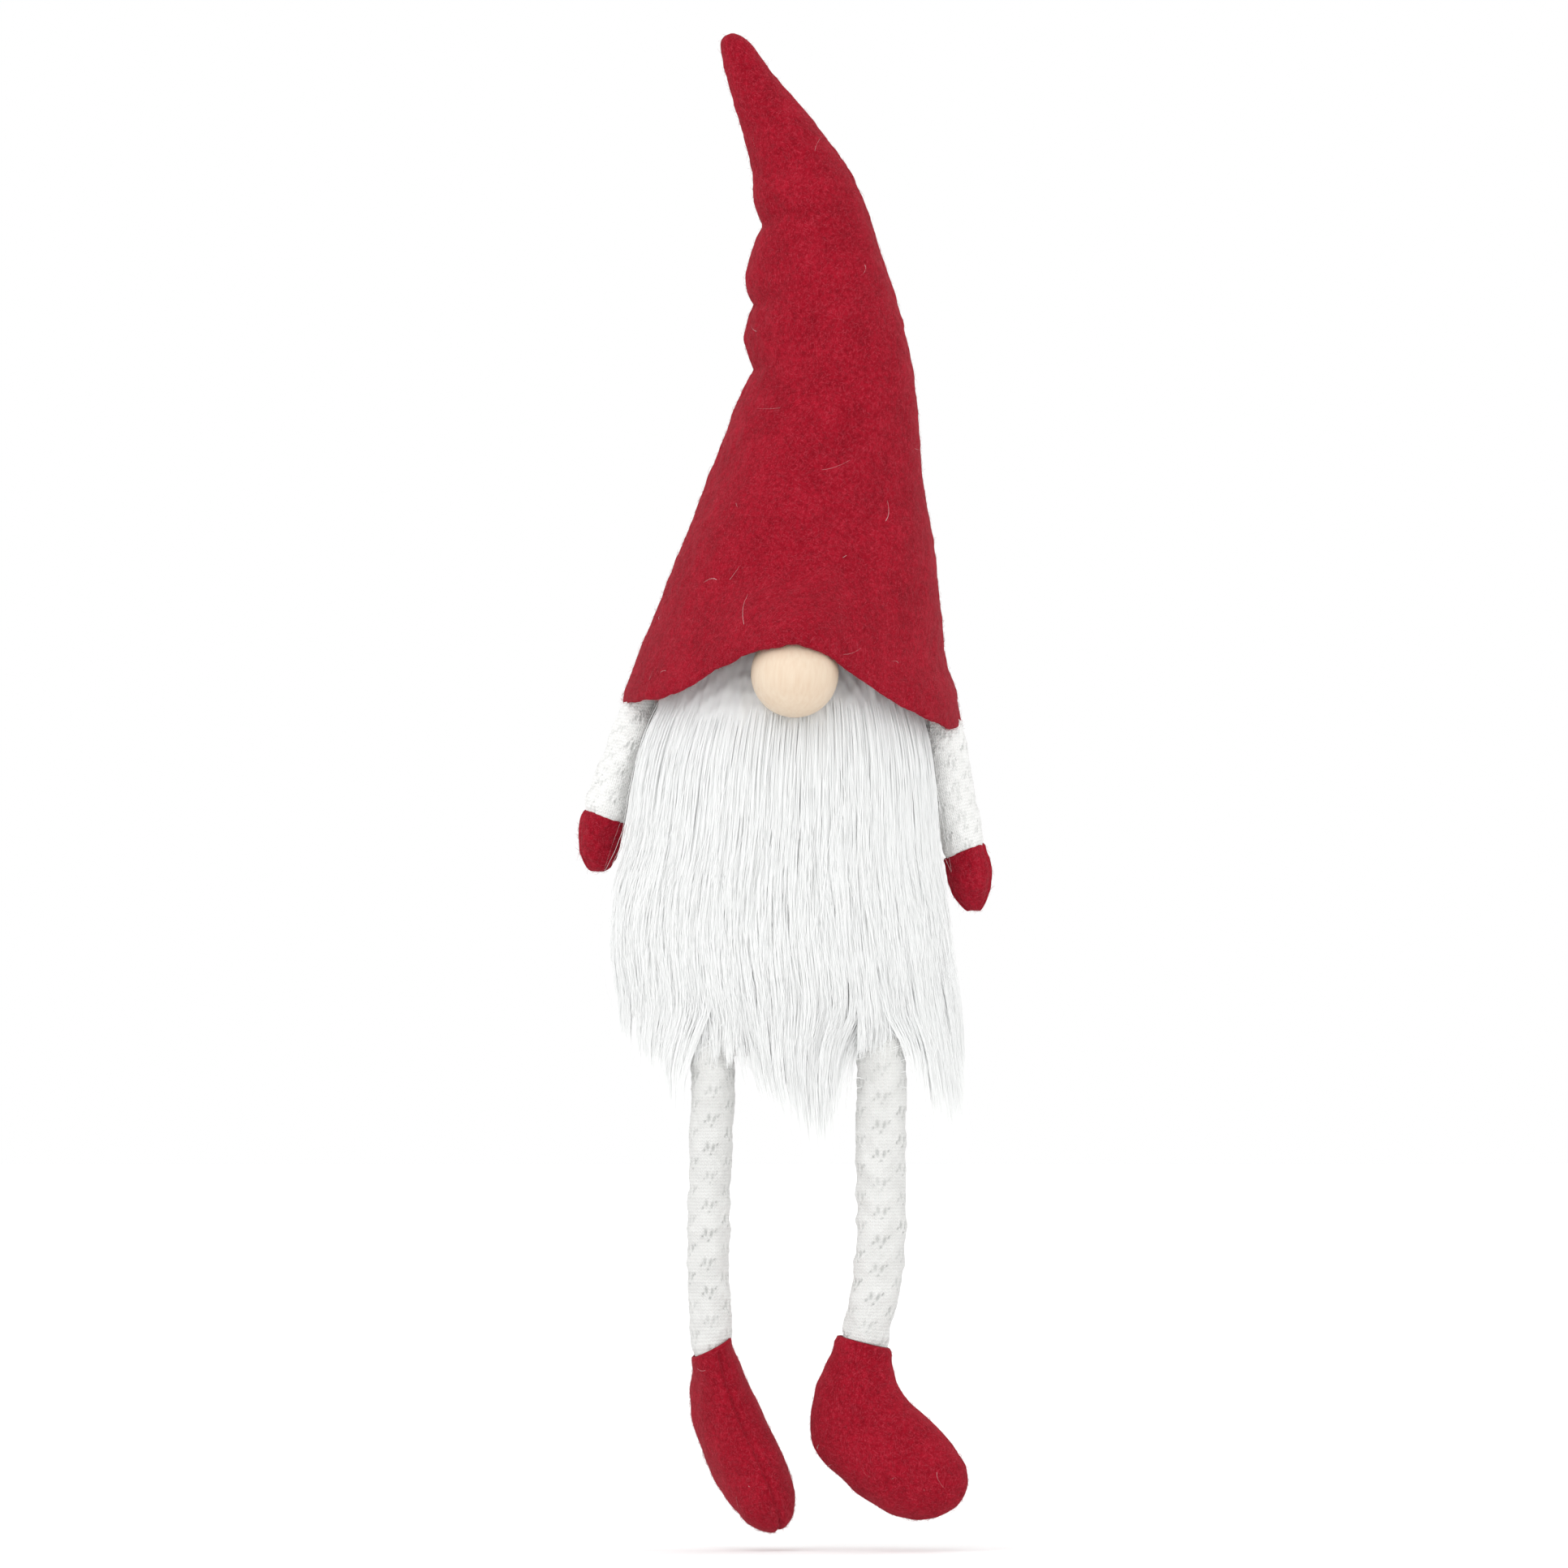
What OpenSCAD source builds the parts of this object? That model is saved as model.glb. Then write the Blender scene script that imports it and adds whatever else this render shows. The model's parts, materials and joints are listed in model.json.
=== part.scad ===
// Tomte gnome figurine: a soft shelf sitter with a tall felt hat, a wooden nose, a long
// beard and dangling arms and legs. Millimetres, +Z up. The origin is the middle of the
// flat seat under the body, and the gnome faces -Y, so its right side is at -X.

/* [Body] */
// Height of the body bag, from the seat to its top inside the hat
body_h = 168; // [150:1:205]
// Width of the body bag at its fullest level
body_w = 100; // [82:1:122]
// Depth of the body bag at its fullest level
body_d = 84; // [70:1:102]
// Thickness of the body's knit cloth
cloth_t = 1.2; // [0.8:0.1:2]
// Thickness of the felt seat disc
seat_t = 2; // [1:0.5:4]
// Thickness of the card that stiffens the seat
card_t = 2; // [1:0.5:4]
// Height of the bag of pellets that weighs the base down
pellet_bag_h = 26; // [18:1:34]

/* [Hat] */
// Height of the hat, from its side brim to its tip
hat_h = 232.5; // [190:0.5:280]
// Width of the hat at its brim
hat_w = 117; // [106:1:141]
// Depth of the hat at its brim
hat_d = 106; // [98:1:128]
// Height of body that the hat covers
hat_cover = 50.5; // [42:0.5:61]
// Thickness of the felt of the hat, mittens and shoes
felt_t = 2; // [1:0.1:3]
// Rise of the front brim over the nose
brim_lift = 24; // [12:1:29]
// Drop of the brim from its middle to the gnome's left side
brim_tilt = 4.5; // [0:0.5:6]
// Angle that each crease of the hat bends to either side
crease_bend = 8; // [3:1:10]
// Diameter of the bending wire in the hat
wire_d = 2; // [1:0.1:3]

/* [Nose] */
// Diameter of the wooden nose ball
nose_d = 30; // [24:1:36]
// Height of the nose's middle over the side brim
nose_rise = 13; // [8:1:16]

/* [Beard] */
// Thickness of the beard's fur in front of the body
pile_t = 14; // [10:0.5:18]
// Thickness of the fur's woven backing
backing_t = 1.2; // [0.8:0.1:2]
// Length that the right, middle and left locks hang below the seat
lock_drop = [24, 39, 42]; // [15:1:55]

/* [Arms] */
// Thickness of an arm
arm_d = 15.5; // [12:0.5:18.5]
// Height from the right shoulder to the fingertips
arm_right_l = 49.5; // [42:0.5:60]
// Height from the left shoulder to the fingertips
arm_left_l = 53.5; // [42:0.5:64]
// Distance that the right and left arms spread sideways
arm_spread = [11.5, 9]; // [4:0.5:15]
// Length of a mitten
mitten_l = 20; // [16:0.5:25]

/* [Legs] */
// Distance of the right and left hips from the middle
hip_out = [28, 30]; // [25:0.5:36]
// Length from the hip to the knee
thigh_l = 52; // [42:1:63]
// Length from the right and left knees to the ankles
shin_l = [54, 49]; // [40:1:64]
// Narrow and wide thickness of a leg
leg_d = [14.5, 17]; // [12:0.5:20]
// Sideways step of the right and left ankles
ankle_step = [1.5, -5.5]; // [-8:0.5:4]
// Turn of the right and left toes from straight ahead to the left
toe_turn = [14, 80]; // [0:1:90]
// Droop of the right and left toes
foot_droop = [32, 0]; // [0:1:38]
// Lean of the right and left feet towards the gnome's left
foot_lean = [21, 0]; // [0:1:25]

/* [Shoes] */
// Height of a shoe, from the ankle to the sole
shoe_h = 58; // [48:1:70]
// Length of a shoe
shoe_l = 55; // [46:1:66]
// Width of a shoe
shoe_w = 24; // [20:0.5:29]

/* [Hidden] */

felt_red = [0.65, 0.11, 0.19];
knit_white = [0.93, 0.93, 0.93];
fur_white = [0.95, 0.96, 0.97];
wool_white = [0.85, 0.85, 0.82];
wood_pale = [0.95, 0.87, 0.79];
card_brown = [0.7, 0.58, 0.42];
pellet_grey = [0.75, 0.77, 0.8];
wire_grey = [0.6, 0.6, 0.62];

// Clearance between a filling and its cover, and between still neighbours
gap = 0.4;
// Clearance between pieces of bodies that swing past each other
swing_gap = 1;
// Points round the body and hat, and round a limb
big_n = 32;
limb_n = 16;
// Smallest half width at a closed end
tip_r = 0.8;
right = 0;
left = 1;
side = [-1, 1];

// ---- Lofts -------------------------------------------------------------------------
// A level is [z, middle x, middle y, half width, half depth]: a level ellipse.

// Smooth value between b and c, with a before them and d after them
function curve(a, b, c, d, t) =
    0.5 * (2 * b + (c - a) * t + (2 * a - 5 * b + 4 * c - d) * t * t
    + (3 * b - a - 3 * c + d) * t * t * t);

// Level at the place u along a list of levels
function between(levels, u) =
    let (last = len(levels) - 1, k = min(floor(u), last - 1))
    curve(levels[max(k - 1, 0)], levels[k], levels[k + 1], levels[min(k + 2, last)], u - k);

// A list of levels, smoothed into the given number of steps
function smooth(levels, steps) =
    [for (i = [0:steps]) between(levels, i * (len(levels) - 1) / steps)];

// One column of a list of levels, read at the height z
function read(levels, z, column) =
    lookup(z, [for (level = levels) [level[0], level[column]]]);

// Levels drawn in by t all round, and at the last, closed end by t along Z too
function inset(levels, t, end_t = 0) =
    let (last = len(levels) - 1, way = sign(levels[last][0] - levels[0][0]))
    [for (i = [0:last]) let (l = levels[i])
        [l[0] - way * end_t * pow(i / last, 3), l[1], l[2],
            max(l[3] - t, tip_r / 2), max(l[4] - t, tip_r / 2)]];

// Points of a level between two angles. fold lifts them by their distance from the middle:
// fold[0] per mm to either side, and fold[1] per mm to the back.
function arc(level, from, to, steps, fold = [0, 0]) =
    [for (i = [0:steps])
        let (a = from + (to - from) * i / steps, dx = level[3] * cos(a), dy = level[4] * sin(a))
        [level[1] + dx, level[2] + dy, level[0] + fold[0] * abs(dx) + fold[1] * max(0, dy)]];

// All the points of a level, once round from the angle start
function ring(level, n, start = 0, fold = [0, 0]) =
    arc(level, start, start + 360 - 360 / n, n - 1, fold);

// Rings of a list of levels, with the ends folded
function rings(levels, n, start = 0, low = [0, 0], high = [0, 0]) =
    [for (i = [0:len(levels) - 1])
        ring(levels[i], n, start, i == 0 ? low : i == len(levels) - 1 ? high : [0, 0])];

// Arcs of a list of levels, with the ends folded
function arcs(levels, from, to, steps, low = [0, 0], high = [0, 0]) =
    [for (i = [0:len(levels) - 1])
        arc(levels[i], from, to, steps, i == 0 ? low : i == len(levels) - 1 ? high : [0, 0])];

// All the points of a list of rings, in one list
function flat(rows) = [for (row = rows) each row];

// Triangles between each of m rows of n points and the next, closed round if loop is true
function wall(m, n, loop, first = 0) =
    [for (j = [0:m - 2], i = [0:n - (loop ? 1 : 2)])
        let (a = first + j * n + i, b = first + j * n + (i + 1) % n)
        each [[a, a + n, b], [b, a + n, b + n]]];

// Strips that close a ring of n points, each across from its mirror point
function lid(n, first) =
    [[first, first + 1, first + n - 1],
    for (i = [1:n / 2 - 2]) each [
        [first + i, first + i + 1, first + n - i],
        [first + i + 1, first + n - i - 1, first + n - i]],
    [first + n / 2 - 1, first + n / 2, first + n / 2 + 1]];

// Faces turned the other way
function turned(faces) = [for (f = faces) [for (i = [len(f) - 1:-1:0]) f[i]]];

// Faces turned only when the stack runs upwards
function facing(rows, faces) = rows[len(rows) - 1][0][2] > rows[0][0][2] ? faces : turned(faces);

// Solid through a list of rings
module solid_loft(rows) {
    n = len(rows[0]);
    m = len(rows);
    polyhedron(flat(rows),
        facing(rows, concat(wall(m, n, true), lid(n, 0), turned(lid(n, (m - 1) * n)))));
}

// Cloth tube between outer and inner rings, open at both ends
module open_tube(outer, inner) {
    n = len(outer[0]);
    m = len(outer);
    all = m * n;
    last = (m - 1) * n;
    rims = [for (i = [0:n - 1]) let (k = (i + 1) % n) each [
        [i, k, all + i], [k, all + k, all + i],
        [last + k, last + i, all + last + i], [all + last + k, last + k, all + last + i]]];
    polyhedron(flat(concat(outer, inner)),
        facing(outer, concat(wall(m, n, true), turned(wall(m, n, true, all)), rims)));
}

// Cloth tube that is open at its first ring and closed at its last
module closed_tube(outer, inner) {
    n = len(outer[0]);
    m = len(outer);
    all = m * n;
    last = (m - 1) * n;
    rim = [for (i = [0:n - 1]) let (k = (i + 1) % n) each [[i, k, all + i], [k, all + k, all + i]]];
    polyhedron(flat(concat(outer, inner)),
        facing(outer, concat(wall(m, n, true), turned(wall(m, n, true, all)), rim,
            turned(lid(n, last)), lid(n, all + last))));
}

// Half of a cloth shell between outer and inner arcs, open at both ends or closed at its last
module panel(outer, inner, closed = false) {
    n = len(outer[0]);
    m = len(outer);
    all = m * n;
    last = (m - 1) * n;
    rim = [for (i = [0:n - 2]) each [[i, i + 1, all + i], [i + 1, all + i + 1, all + i]]];
    seams = [for (j = [0:m - 2]) let (a = j * n, b = a + n - 1) each [
        [a, all + a, a + n], [all + a, all + a + n, a + n],
        [b, b + n, all + b], [all + b, b + n, all + b + n]]];
    open_end = [for (i = [0:n - 2]) each [
        [last + i + 1, last + i, all + last + i], [all + last + i + 1, last + i + 1, all + last + i]]];
    closed_end = [
        [for (i = [n - 1:-1:0]) last + i],
        [for (i = [0:n - 1]) all + last + i],
        [last, all + last, last + n - 1], [all + last, all + last + n - 1, last + n - 1]];
    polyhedron(flat(concat(outer, inner)),
        facing(outer, concat(wall(m, n, false), turned(wall(m, n, false, all)), rim, seams,
            closed ? closed_end : open_end)));
}

// Level plate with an elliptical outline
module plate(half_x, half_y, z, t) {
    translate([0, 0, z])
        linear_extrude(t)
            polygon([for (i = [0:big_n - 1])
                let (a = 360 * i / big_n) [half_x * cos(a), half_y * sin(a)]]);
}

// ---- Body --------------------------------------------------------------------------
// Outline of the bag: fractions of its height, half width and half depth
body_outline = [
    [0.05, 0.95, 0.92], [0.18, 1, 1], [0.35, 1, 1], [0.55, 0.94, 0.93], [0.7, 0.84, 0.78],
    [0.8, 0.76, 0.64], [0.9, 0.58, 0.5], [0.97, 0.3, 0.26], [1, 0.04, 0.04]];
seat_level = [seat_t, 0, 0, 0.43 * body_w, 0.4 * body_d];
body_steps = 14;
body_levels = smooth(concat([seat_level],
    [for (o = body_outline) [o[0] * body_h, 0, 0, o[1] * body_w / 2, o[2] * body_d / 2]]), body_steps);

// Level of a list at the height z, taken on the straight line between its levels
function level_at(levels, z) = [z, for (column = [1:4]) read(levels, z, column)];

// Levels of a list between two heights, with a level at each
function span(levels, low, high) =
    concat([level_at(levels, low)],
        [for (l = levels) if (l[0] > low + 1 && l[0] < high - 1) l],
        [level_at(levels, high)]);

// Levels grown by t all round
function grown(levels, t) = [for (l = levels) [l[0], l[1], l[2], l[3] + t, l[4] + t]];

body_inner = inset(body_levels, cloth_t, cloth_t);
half = big_n / 2;

module body_front_panel() {
    color(knit_white) panel(arcs(body_levels, 180, 360, half), arcs(body_inner, 180, 360, half), true);
}

module body_back_panel() {
    color(knit_white) panel(arcs(body_levels, 0, 180, half), arcs(body_inner, 0, 180, half), true);
}

module seat_disc() {
    color(knit_white) plate(seat_level[3], seat_level[4], 0, seat_t);
}

module seat_card() {
    edge = cloth_t + 2 * gap;
    color(card_brown) plate(seat_level[3] - edge, seat_level[4] - edge, seat_t, card_t);
}

// The pellet bag: half heights, fractions of its half width and half depth
bag_outline = [[0, 1, 1], [0.45, 0.97, 0.96], [0.85, 0.8, 0.77], [1, 0.45, 0.4]];
bag_x = 0.4 * body_w;
bag_y = 0.36 * body_d;
bag_low = seat_t + card_t + gap;
bag_seam = bag_low + pellet_bag_h / 2;
bag_cloth_t = 0.8;
function bag_levels(way) =
    [for (o = bag_outline) [bag_seam + way * o[0] * pellet_bag_h / 2, 0, 0, o[1] * bag_x, o[2] * bag_y]];

module pellet_bag_half(way) {
    levels = bag_levels(way);
    closed_tube(rings(levels, big_n), rings(inset(levels, bag_cloth_t, bag_cloth_t), big_n));
}

module pellet_bag_top() {
    color(knit_white) pellet_bag_half(1);
}

module pellet_bag_bottom() {
    color(knit_white) pellet_bag_half(-1);
}

module pellets() {
    inner = inset(bag_levels(1), bag_cloth_t + gap, bag_cloth_t + gap);
    lower = [for (i = [3:-1:1]) [2 * bag_seam - inner[i][0], 0, 0, inner[i][3], inner[i][4]]];
    color(pellet_grey) solid_loft(rings(concat(lower, inner), big_n));
}

module body_stuffing() {
    low = bag_low + pellet_bag_h + gap;
    high = body_inner[body_steps - 1][0];
    color(wool_white) solid_loft(rings(inset(span(body_inner, low, high), gap, 2 * gap), big_n));
}

// ---- Hat ---------------------------------------------------------------------------
brim_z = body_h - hat_cover;

// Height of the brim's edge at an angle round the hat
function brim_edge(a) = brim_z - brim_tilt * cos(a) + brim_lift * pow(max(0, -sin(a)), 5);

// Hat outline: fractions of the height over the side brim, then its middle and its half
// width as fractions of half the hat's width. Each crease pinches the side it bends to.
hat_outline = [
    [[-0.03, 0, 1], [0.024, -0.01, 0.98], [0.092, 0.02, 0.87], [0.183, 0.06, 0.79],
        [0.282, 0.1, 0.7], [0.376, 0.155, 0.59], [0.467, 0.205, 0.5], [0.505, 0.22, 0.455]],
    [[0.505, 0.22, 0.455], [0.553, 0.195, 0.455], [0.6, 0.2, 0.42]],
    [[0.6, 0.2, 0.42], [0.647, 0.165, 0.405], [0.716, 0.145, 0.33]],
    [[0.716, 0.145, 0.33], [0.785, 0.05, 0.29], [0.88, -0.125, 0.205], [0.94, -0.25, 0.145],
        [0.978, -0.32, 0.09], [1, -0.345, 0.02]]];
hat_steps = [11, 3, 3, 7];
function hat_levels(k) = smooth(
    [for (o = hat_outline[k])
        [brim_z + o[0] * hat_h, o[1] * hat_w / 2, 0, o[2] * hat_w / 2, o[2] * hat_d / 2]],
    hat_steps[k]);
lower_levels = hat_levels(0);

// Middle of the foot of hat segment k, which is the crease that it bends on
function crease(k) = let (l = hat_levels(k)[0]) [l[1], 0, l[0]];

// Slope of both faces of a crease, so that they meet only past its full bend
fold_slope = tan(crease_bend / 2 + 0.4);

// Nose: its ball rests on the slope of the beard's backing
nose_x = 0.8;
nose_z = brim_z + nose_rise;
nose_r = nose_d / 2;
nose_y = -(backing_t + 2.5 * gap + max([for (dz = [-nose_r:1:nose_r])
    read(body_levels, nose_z + dz, 4) + sqrt(nose_r * nose_r - dz * dz)]));

// Swell of the hat's front over the nose, which is as deep as the ball needs there
arch_z = brim_z + brim_lift;
ball_half = sqrt(max(nose_r * nose_r - pow(min(arch_z - nose_z, nose_r), 2), 0));
// Room between the ball and the hat, which a rounder swell needs more of
swell_room = 2 * nose_r / 15;
swell = max(0, -nose_y + ball_half + swell_room + felt_t - read(lower_levels, arch_z, 4));
function front_swell(x, z) =
    swell * exp(-pow((z - arch_z) / (1.3 * nose_r), 2) - pow(x / (1.6 * nose_r), 2));

// Point of the hat's lower part at the angle a and the share t of its height, t_in inside
function hat_point(a, t, t_in) =
    let (top = crease(1), top_x = (read(lower_levels, top[2], 3) - t_in) * cos(a),
        z = brim_edge(a) * (1 - t) + (top[2] - gap / 2 - abs(top_x) * fold_slope) * t,
        x = (read(lower_levels, z, 3) - t_in) * cos(a),
        y = (read(lower_levels, z, 4) - t_in) * sin(a))
    [x + read(lower_levels, z, 1), a > 180 && a < 360 ? y - front_swell(x, z) : y, z];

function hat_rows(from, t_in) =
    let (steps = hat_steps[0])
    [for (j = [0:steps]) [for (i = [0:half]) hat_point(from + 180 * i / half, j / steps, t_in)]];

module hat_front_panel() {
    color(felt_red) panel(hat_rows(180, 0), hat_rows(180, felt_t));
}

module hat_back_panel() {
    color(felt_red) panel(hat_rows(0, 0), hat_rows(0, felt_t));
}

// Wire: straight between the creases, from its foot in the stuffing to short of the tip
wire_foot = let (l = level_at(lower_levels, body_h + 8)) [l[1], 0, l[0]];
wire_head = let (l = level_at(hat_levels(3), brim_z + 0.955 * hat_h)) [l[1], 0, l[0]];
wire_points = [wire_foot, crease(1), crease(2), crease(3), wire_head];

// Straight rod between two points, cut short at both ends
module rod(from, to, r, cut, sides) {
    run = to - from;
    length = norm(run);
    translate(from)
        rotate([0, acos(run[2] / length), atan2(run[1], run[0])])
            translate([0, 0, cut])
                cylinder(h = length - 2 * cut, r = r, $fn = sides);
}

module wire_part(k) {
    color(wire_grey) rod(wire_points[k], wire_points[k + 1], wire_d / 2, gap, 24);
}

// Channel that leaves room for the wire
module wire_channel(k) {
    rod(wire_points[k], wire_points[k + 1], wire_d / 2 + gap, -2, 8);
}

module hat_stuffing() {
    levels = inset(span(lower_levels, pile_high + gap, crease(1)[2] - 2 * gap), felt_t + gap);
    color(wool_white) difference() {
        solid_loft(rings(levels, big_n, 0, [0, 0], [-fold_slope, 0]));
        solid_loft(rings(grown(body_levels, gap), big_n));
        nose_room();
        wire_channel(0);
    }
}

module hat_wire() {
    wire_part(0);
}

// Levels of hat segment k, a little short of its creases
function segment_levels(k, short, closed) =
    let (levels = hat_levels(k), last = len(levels) - 1)
    span(levels, levels[0][0] + short, levels[last][0] - (closed ? 0 : short));

module segment_panel(k, from, closed) {
    levels = segment_levels(k, gap / 2, closed);
    inner = inset(levels, felt_t, closed ? felt_t : 0);
    low = [fold_slope, 0];
    high = closed ? [0, 0] : [-fold_slope, 0];
    color(felt_red) panel(arcs(levels, from, from + 180, half, low, high),
        arcs(inner, from, from + 180, half, low, high), closed);
}

module segment_stuffing(k, closed) {
    levels = inset(segment_levels(k, 2 * gap, closed), felt_t + gap, closed ? felt_t + 3 * gap : 0);
    high = closed ? [0, 0] : [-fold_slope, 0];
    color(wool_white) difference() {
        solid_loft(rings(levels, big_n, 0, [fold_slope, 0], high));
        wire_channel(k);
    }
}

module hat_fold_1_front_panel() { segment_panel(1, 180, false); }
module hat_fold_1_back_panel() { segment_panel(1, 0, false); }
module hat_fold_1_stuffing() { segment_stuffing(1, false); }
module hat_fold_1_wire() { wire_part(1); }
module hat_fold_2_front_panel() { segment_panel(2, 180, false); }
module hat_fold_2_back_panel() { segment_panel(2, 0, false); }
module hat_fold_2_stuffing() { segment_stuffing(2, false); }
module hat_fold_2_wire() { wire_part(2); }
module hat_tip_front_panel() { segment_panel(3, 180, true); }
module hat_tip_back_panel() { segment_panel(3, 0, true); }
module hat_tip_stuffing() { segment_stuffing(3, true); }
module hat_tip_wire() { wire_part(3); }

// ---- Nose and beard ----------------------------------------------------------------
module nose_ball() {
    color(wood_pale) translate([nose_x, nose_y, nose_z]) sphere(r = nose_r, $fn = 64);
}

// Room for the nose in the fur and the stuffing round it
room_sides = 12;
module nose_room() {
    flat_r = (nose_r + gap) / pow(cos(180 / room_sides), 2);
    translate([nose_x, nose_y, nose_z]) sphere(r = flat_r, $fn = room_sides);
}

hip_z = 3;
pile_low = hip_z + leg_d[1] / 2 + 2 * swing_gap;
pile_high = brim_z + 0.33 * hat_cover;
beard_from = 200;
beard_to = 340;
beard_steps = 16;

module beard_backing() {
    levels = span(body_levels, pile_low + 15, pile_high);
    color(fur_white)
        panel(arcs(grown(levels, gap + backing_t), beard_from, beard_to, beard_steps),
            arcs(grown(levels, gap), beard_from, beard_to, beard_steps));
}

// Half width and half depth that the hat leaves to fur whose middle is at x, at the height z.
// Below the hat they are twice the body's, which is no limit.
function under_hat(z, x) =
    z < brim_z - brim_tilt - 2 * gap ? [body_w, body_d] :
    let (shift = abs(read(lower_levels, z, 1) - x))
    [read(lower_levels, z, 3) - shift - felt_t - gap, read(lower_levels, z, 4) - felt_t - gap];

// Swell of the fur: fractions of its height, then its sideways shift, side thickness and
// front thickness as shares of the fur's thickness
pile_swell = [
    [0, -0.18, 0.75, 1], [0.25, -0.25, 0.85, 1.15], [0.5, -0.18, 0.7, 1.1],
    [0.65, -0.15, 0.5, 1], [0.8, -0.2, 0.25, 0.85], [1, -0.05, 0.3, 0.7]];
function pile_level(l) =
    let (f = (l[0] - pile_low) / (pile_high - pile_low),
        swell_at = [for (column = [1:3]) pile_t * lookup(f, [for (s = pile_swell) [s[0], s[column]]])],
        skin = 2 * gap + backing_t,
        room = under_hat(l[0], swell_at[0]))
    [l[0], swell_at[0], 0, min(l[3] + skin + swell_at[1], room[0]),
        min(l[4] + skin + swell_at[2], room[1])];

module beard_pile() {
    levels = span(body_levels, pile_low, pile_high);
    outer = [for (l = levels) pile_level(l)];
    color(fur_white) difference() {
        panel(arcs(outer, beard_from, beard_to, beard_steps),
            arcs(grown(levels, 2 * gap + backing_t), beard_from, beard_to, beard_steps));
        nose_room();
    }
}

// Lock of hair under the pile, between two sideways places, tapering to a tip
lock_taper = [[0, 1, 1], [0.3, 0.88, 0.95], [0.6, 0.6, 0.75], [0.85, 0.3, 0.45], [1, 0.05, 0.1]];
lock_steps = 16;
module beard_lock(x_low, x_high, y, half_y, drop, tip_x) {
    top = pile_low - gap;
    mid = (x_low + x_high) / 2;
    levels = [for (o = lock_taper)
        [top - o[0] * (top + drop), mid + (tip_x - mid) * o[0], y,
            o[1] * (x_high - x_low) / 2, o[2] * half_y]];
    color(fur_white) solid_loft(rings(levels, lock_steps));
}

// Sideways reach of each leg, with room to swing
function leg_reach(s) = leg_d[s] / 2 + 1.5 * swing_gap;
lock_y = -(0.5 * body_d + 5);
outer_lock_x = 0.5 * body_w + 0.45 * pile_t;

module beard_lock_right() {
    inner_x = -hip_out[right] - leg_reach(right);
    beard_lock(-outer_lock_x, inner_x, lock_y + 8, 6, lock_drop[0], inner_x - 4);
}

module beard_lock_middle() {
    x_low = -hip_out[right] + leg_reach(right);
    beard_lock(x_low, hip_out[left] - leg_reach(left), lock_y, 6, lock_drop[1], 9);
}

module beard_lock_left() {
    inner_x = hip_out[left] + leg_reach(left);
    beard_lock(inner_x, outer_lock_x, lock_y + 8, 6, lock_drop[2], outer_lock_x - 2);
}

// ---- Arms --------------------------------------------------------------------------
arm_r = arm_d / 2;
arm_y = -4;
arm_l = [arm_right_l, arm_left_l];
shoulder_z = [for (s = [right, left]) brim_edge(s == right ? 180 : 0) - 2 * swing_gap - arm_r];
shoulder_x = [for (s = [right, left]) read(body_levels, shoulder_z[s], 3) + swing_gap + arm_r];

// Middle of arm s at the depth d below its shoulder
function arm_x(s, d) =
    side[s] * (shoulder_x[s] + arm_spread[s] * (1 - pow(1 - min(max(d / arm_l[s], 0), 1), 1.5)));

// Level of arm s at the depth d below its shoulder, scaled by w
function arm_level(s, d, w) = [shoulder_z[s] - d, arm_x(s, d), arm_y, w * arm_r, w * arm_r];

// A round end over a limb: shares of its radius up, and of its width there
dome = [[0.5, 0.87], [0.85, 0.53], [0.98, 0.2]];
function cuff_depth(s) = arm_l[s] - mitten_l;
function sleeve_levels(s, short) = concat(
    [for (f = [1, 0.66, 0.33, 0]) arm_level(s, f * (cuff_depth(s) - short), 0.94 + 0.06 * f)],
    [for (o = dome) arm_level(s, -o[0] * arm_r, 0.94 * o[1])]);
mitten_outline = [[0, 1], [0.25, 1.02], [0.5, 0.96], [0.75, 0.78], [0.92, 0.48], [1, 0.1]];
function mitten_levels(s, short) =
    [for (o = mitten_outline) arm_level(s, cuff_depth(s) + short + o[0] * (mitten_l - short), o[1])];

module sleeve(s) {
    levels = sleeve_levels(s, 0);
    color(knit_white) closed_tube(rings(levels, limb_n), rings(inset(levels, cloth_t, cloth_t), limb_n));
}

module sleeve_stuffing(s) {
    levels = inset(sleeve_levels(s, gap), cloth_t + gap, cloth_t + 2 * gap);
    color(wool_white) solid_loft(rings(levels, limb_n));
}

module mitten_panel(s, from) {
    levels = mitten_levels(s, 0);
    inner = inset(levels, felt_t, felt_t);
    steps = limb_n / 2;
    color(felt_red)
        panel(arcs(levels, from, from + 180, steps), arcs(inner, from, from + 180, steps), true);
}

module mitten_stuffing(s) {
    levels = inset(mitten_levels(s, gap), felt_t + gap, felt_t + 2 * gap);
    color(wool_white) solid_loft(rings(levels, limb_n));
}

module sleeve_right() { sleeve(right); }
module sleeve_stuffing_right() { sleeve_stuffing(right); }
module mitten_front_right() { mitten_panel(right, 180); }
module mitten_back_right() { mitten_panel(right, 0); }
module mitten_stuffing_right() { mitten_stuffing(right); }
module sleeve_left() { sleeve(left); }
module sleeve_stuffing_left() { sleeve_stuffing(left); }
module mitten_front_left() { mitten_panel(left, 180); }
module mitten_back_left() { mitten_panel(left, 0); }
module mitten_stuffing_left() { mitten_stuffing(left); }

// ---- Legs --------------------------------------------------------------------------
// Half thickness of leg s across and along, because the legs hang turned
function leg_rx(s) = leg_d[s] / 2;
function leg_ry(s) = leg_d[1 - s] / 2;
knee_z = hip_z - thigh_l;
ankle_z = [for (s = [right, left]) knee_z - shin_l[s]];

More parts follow.
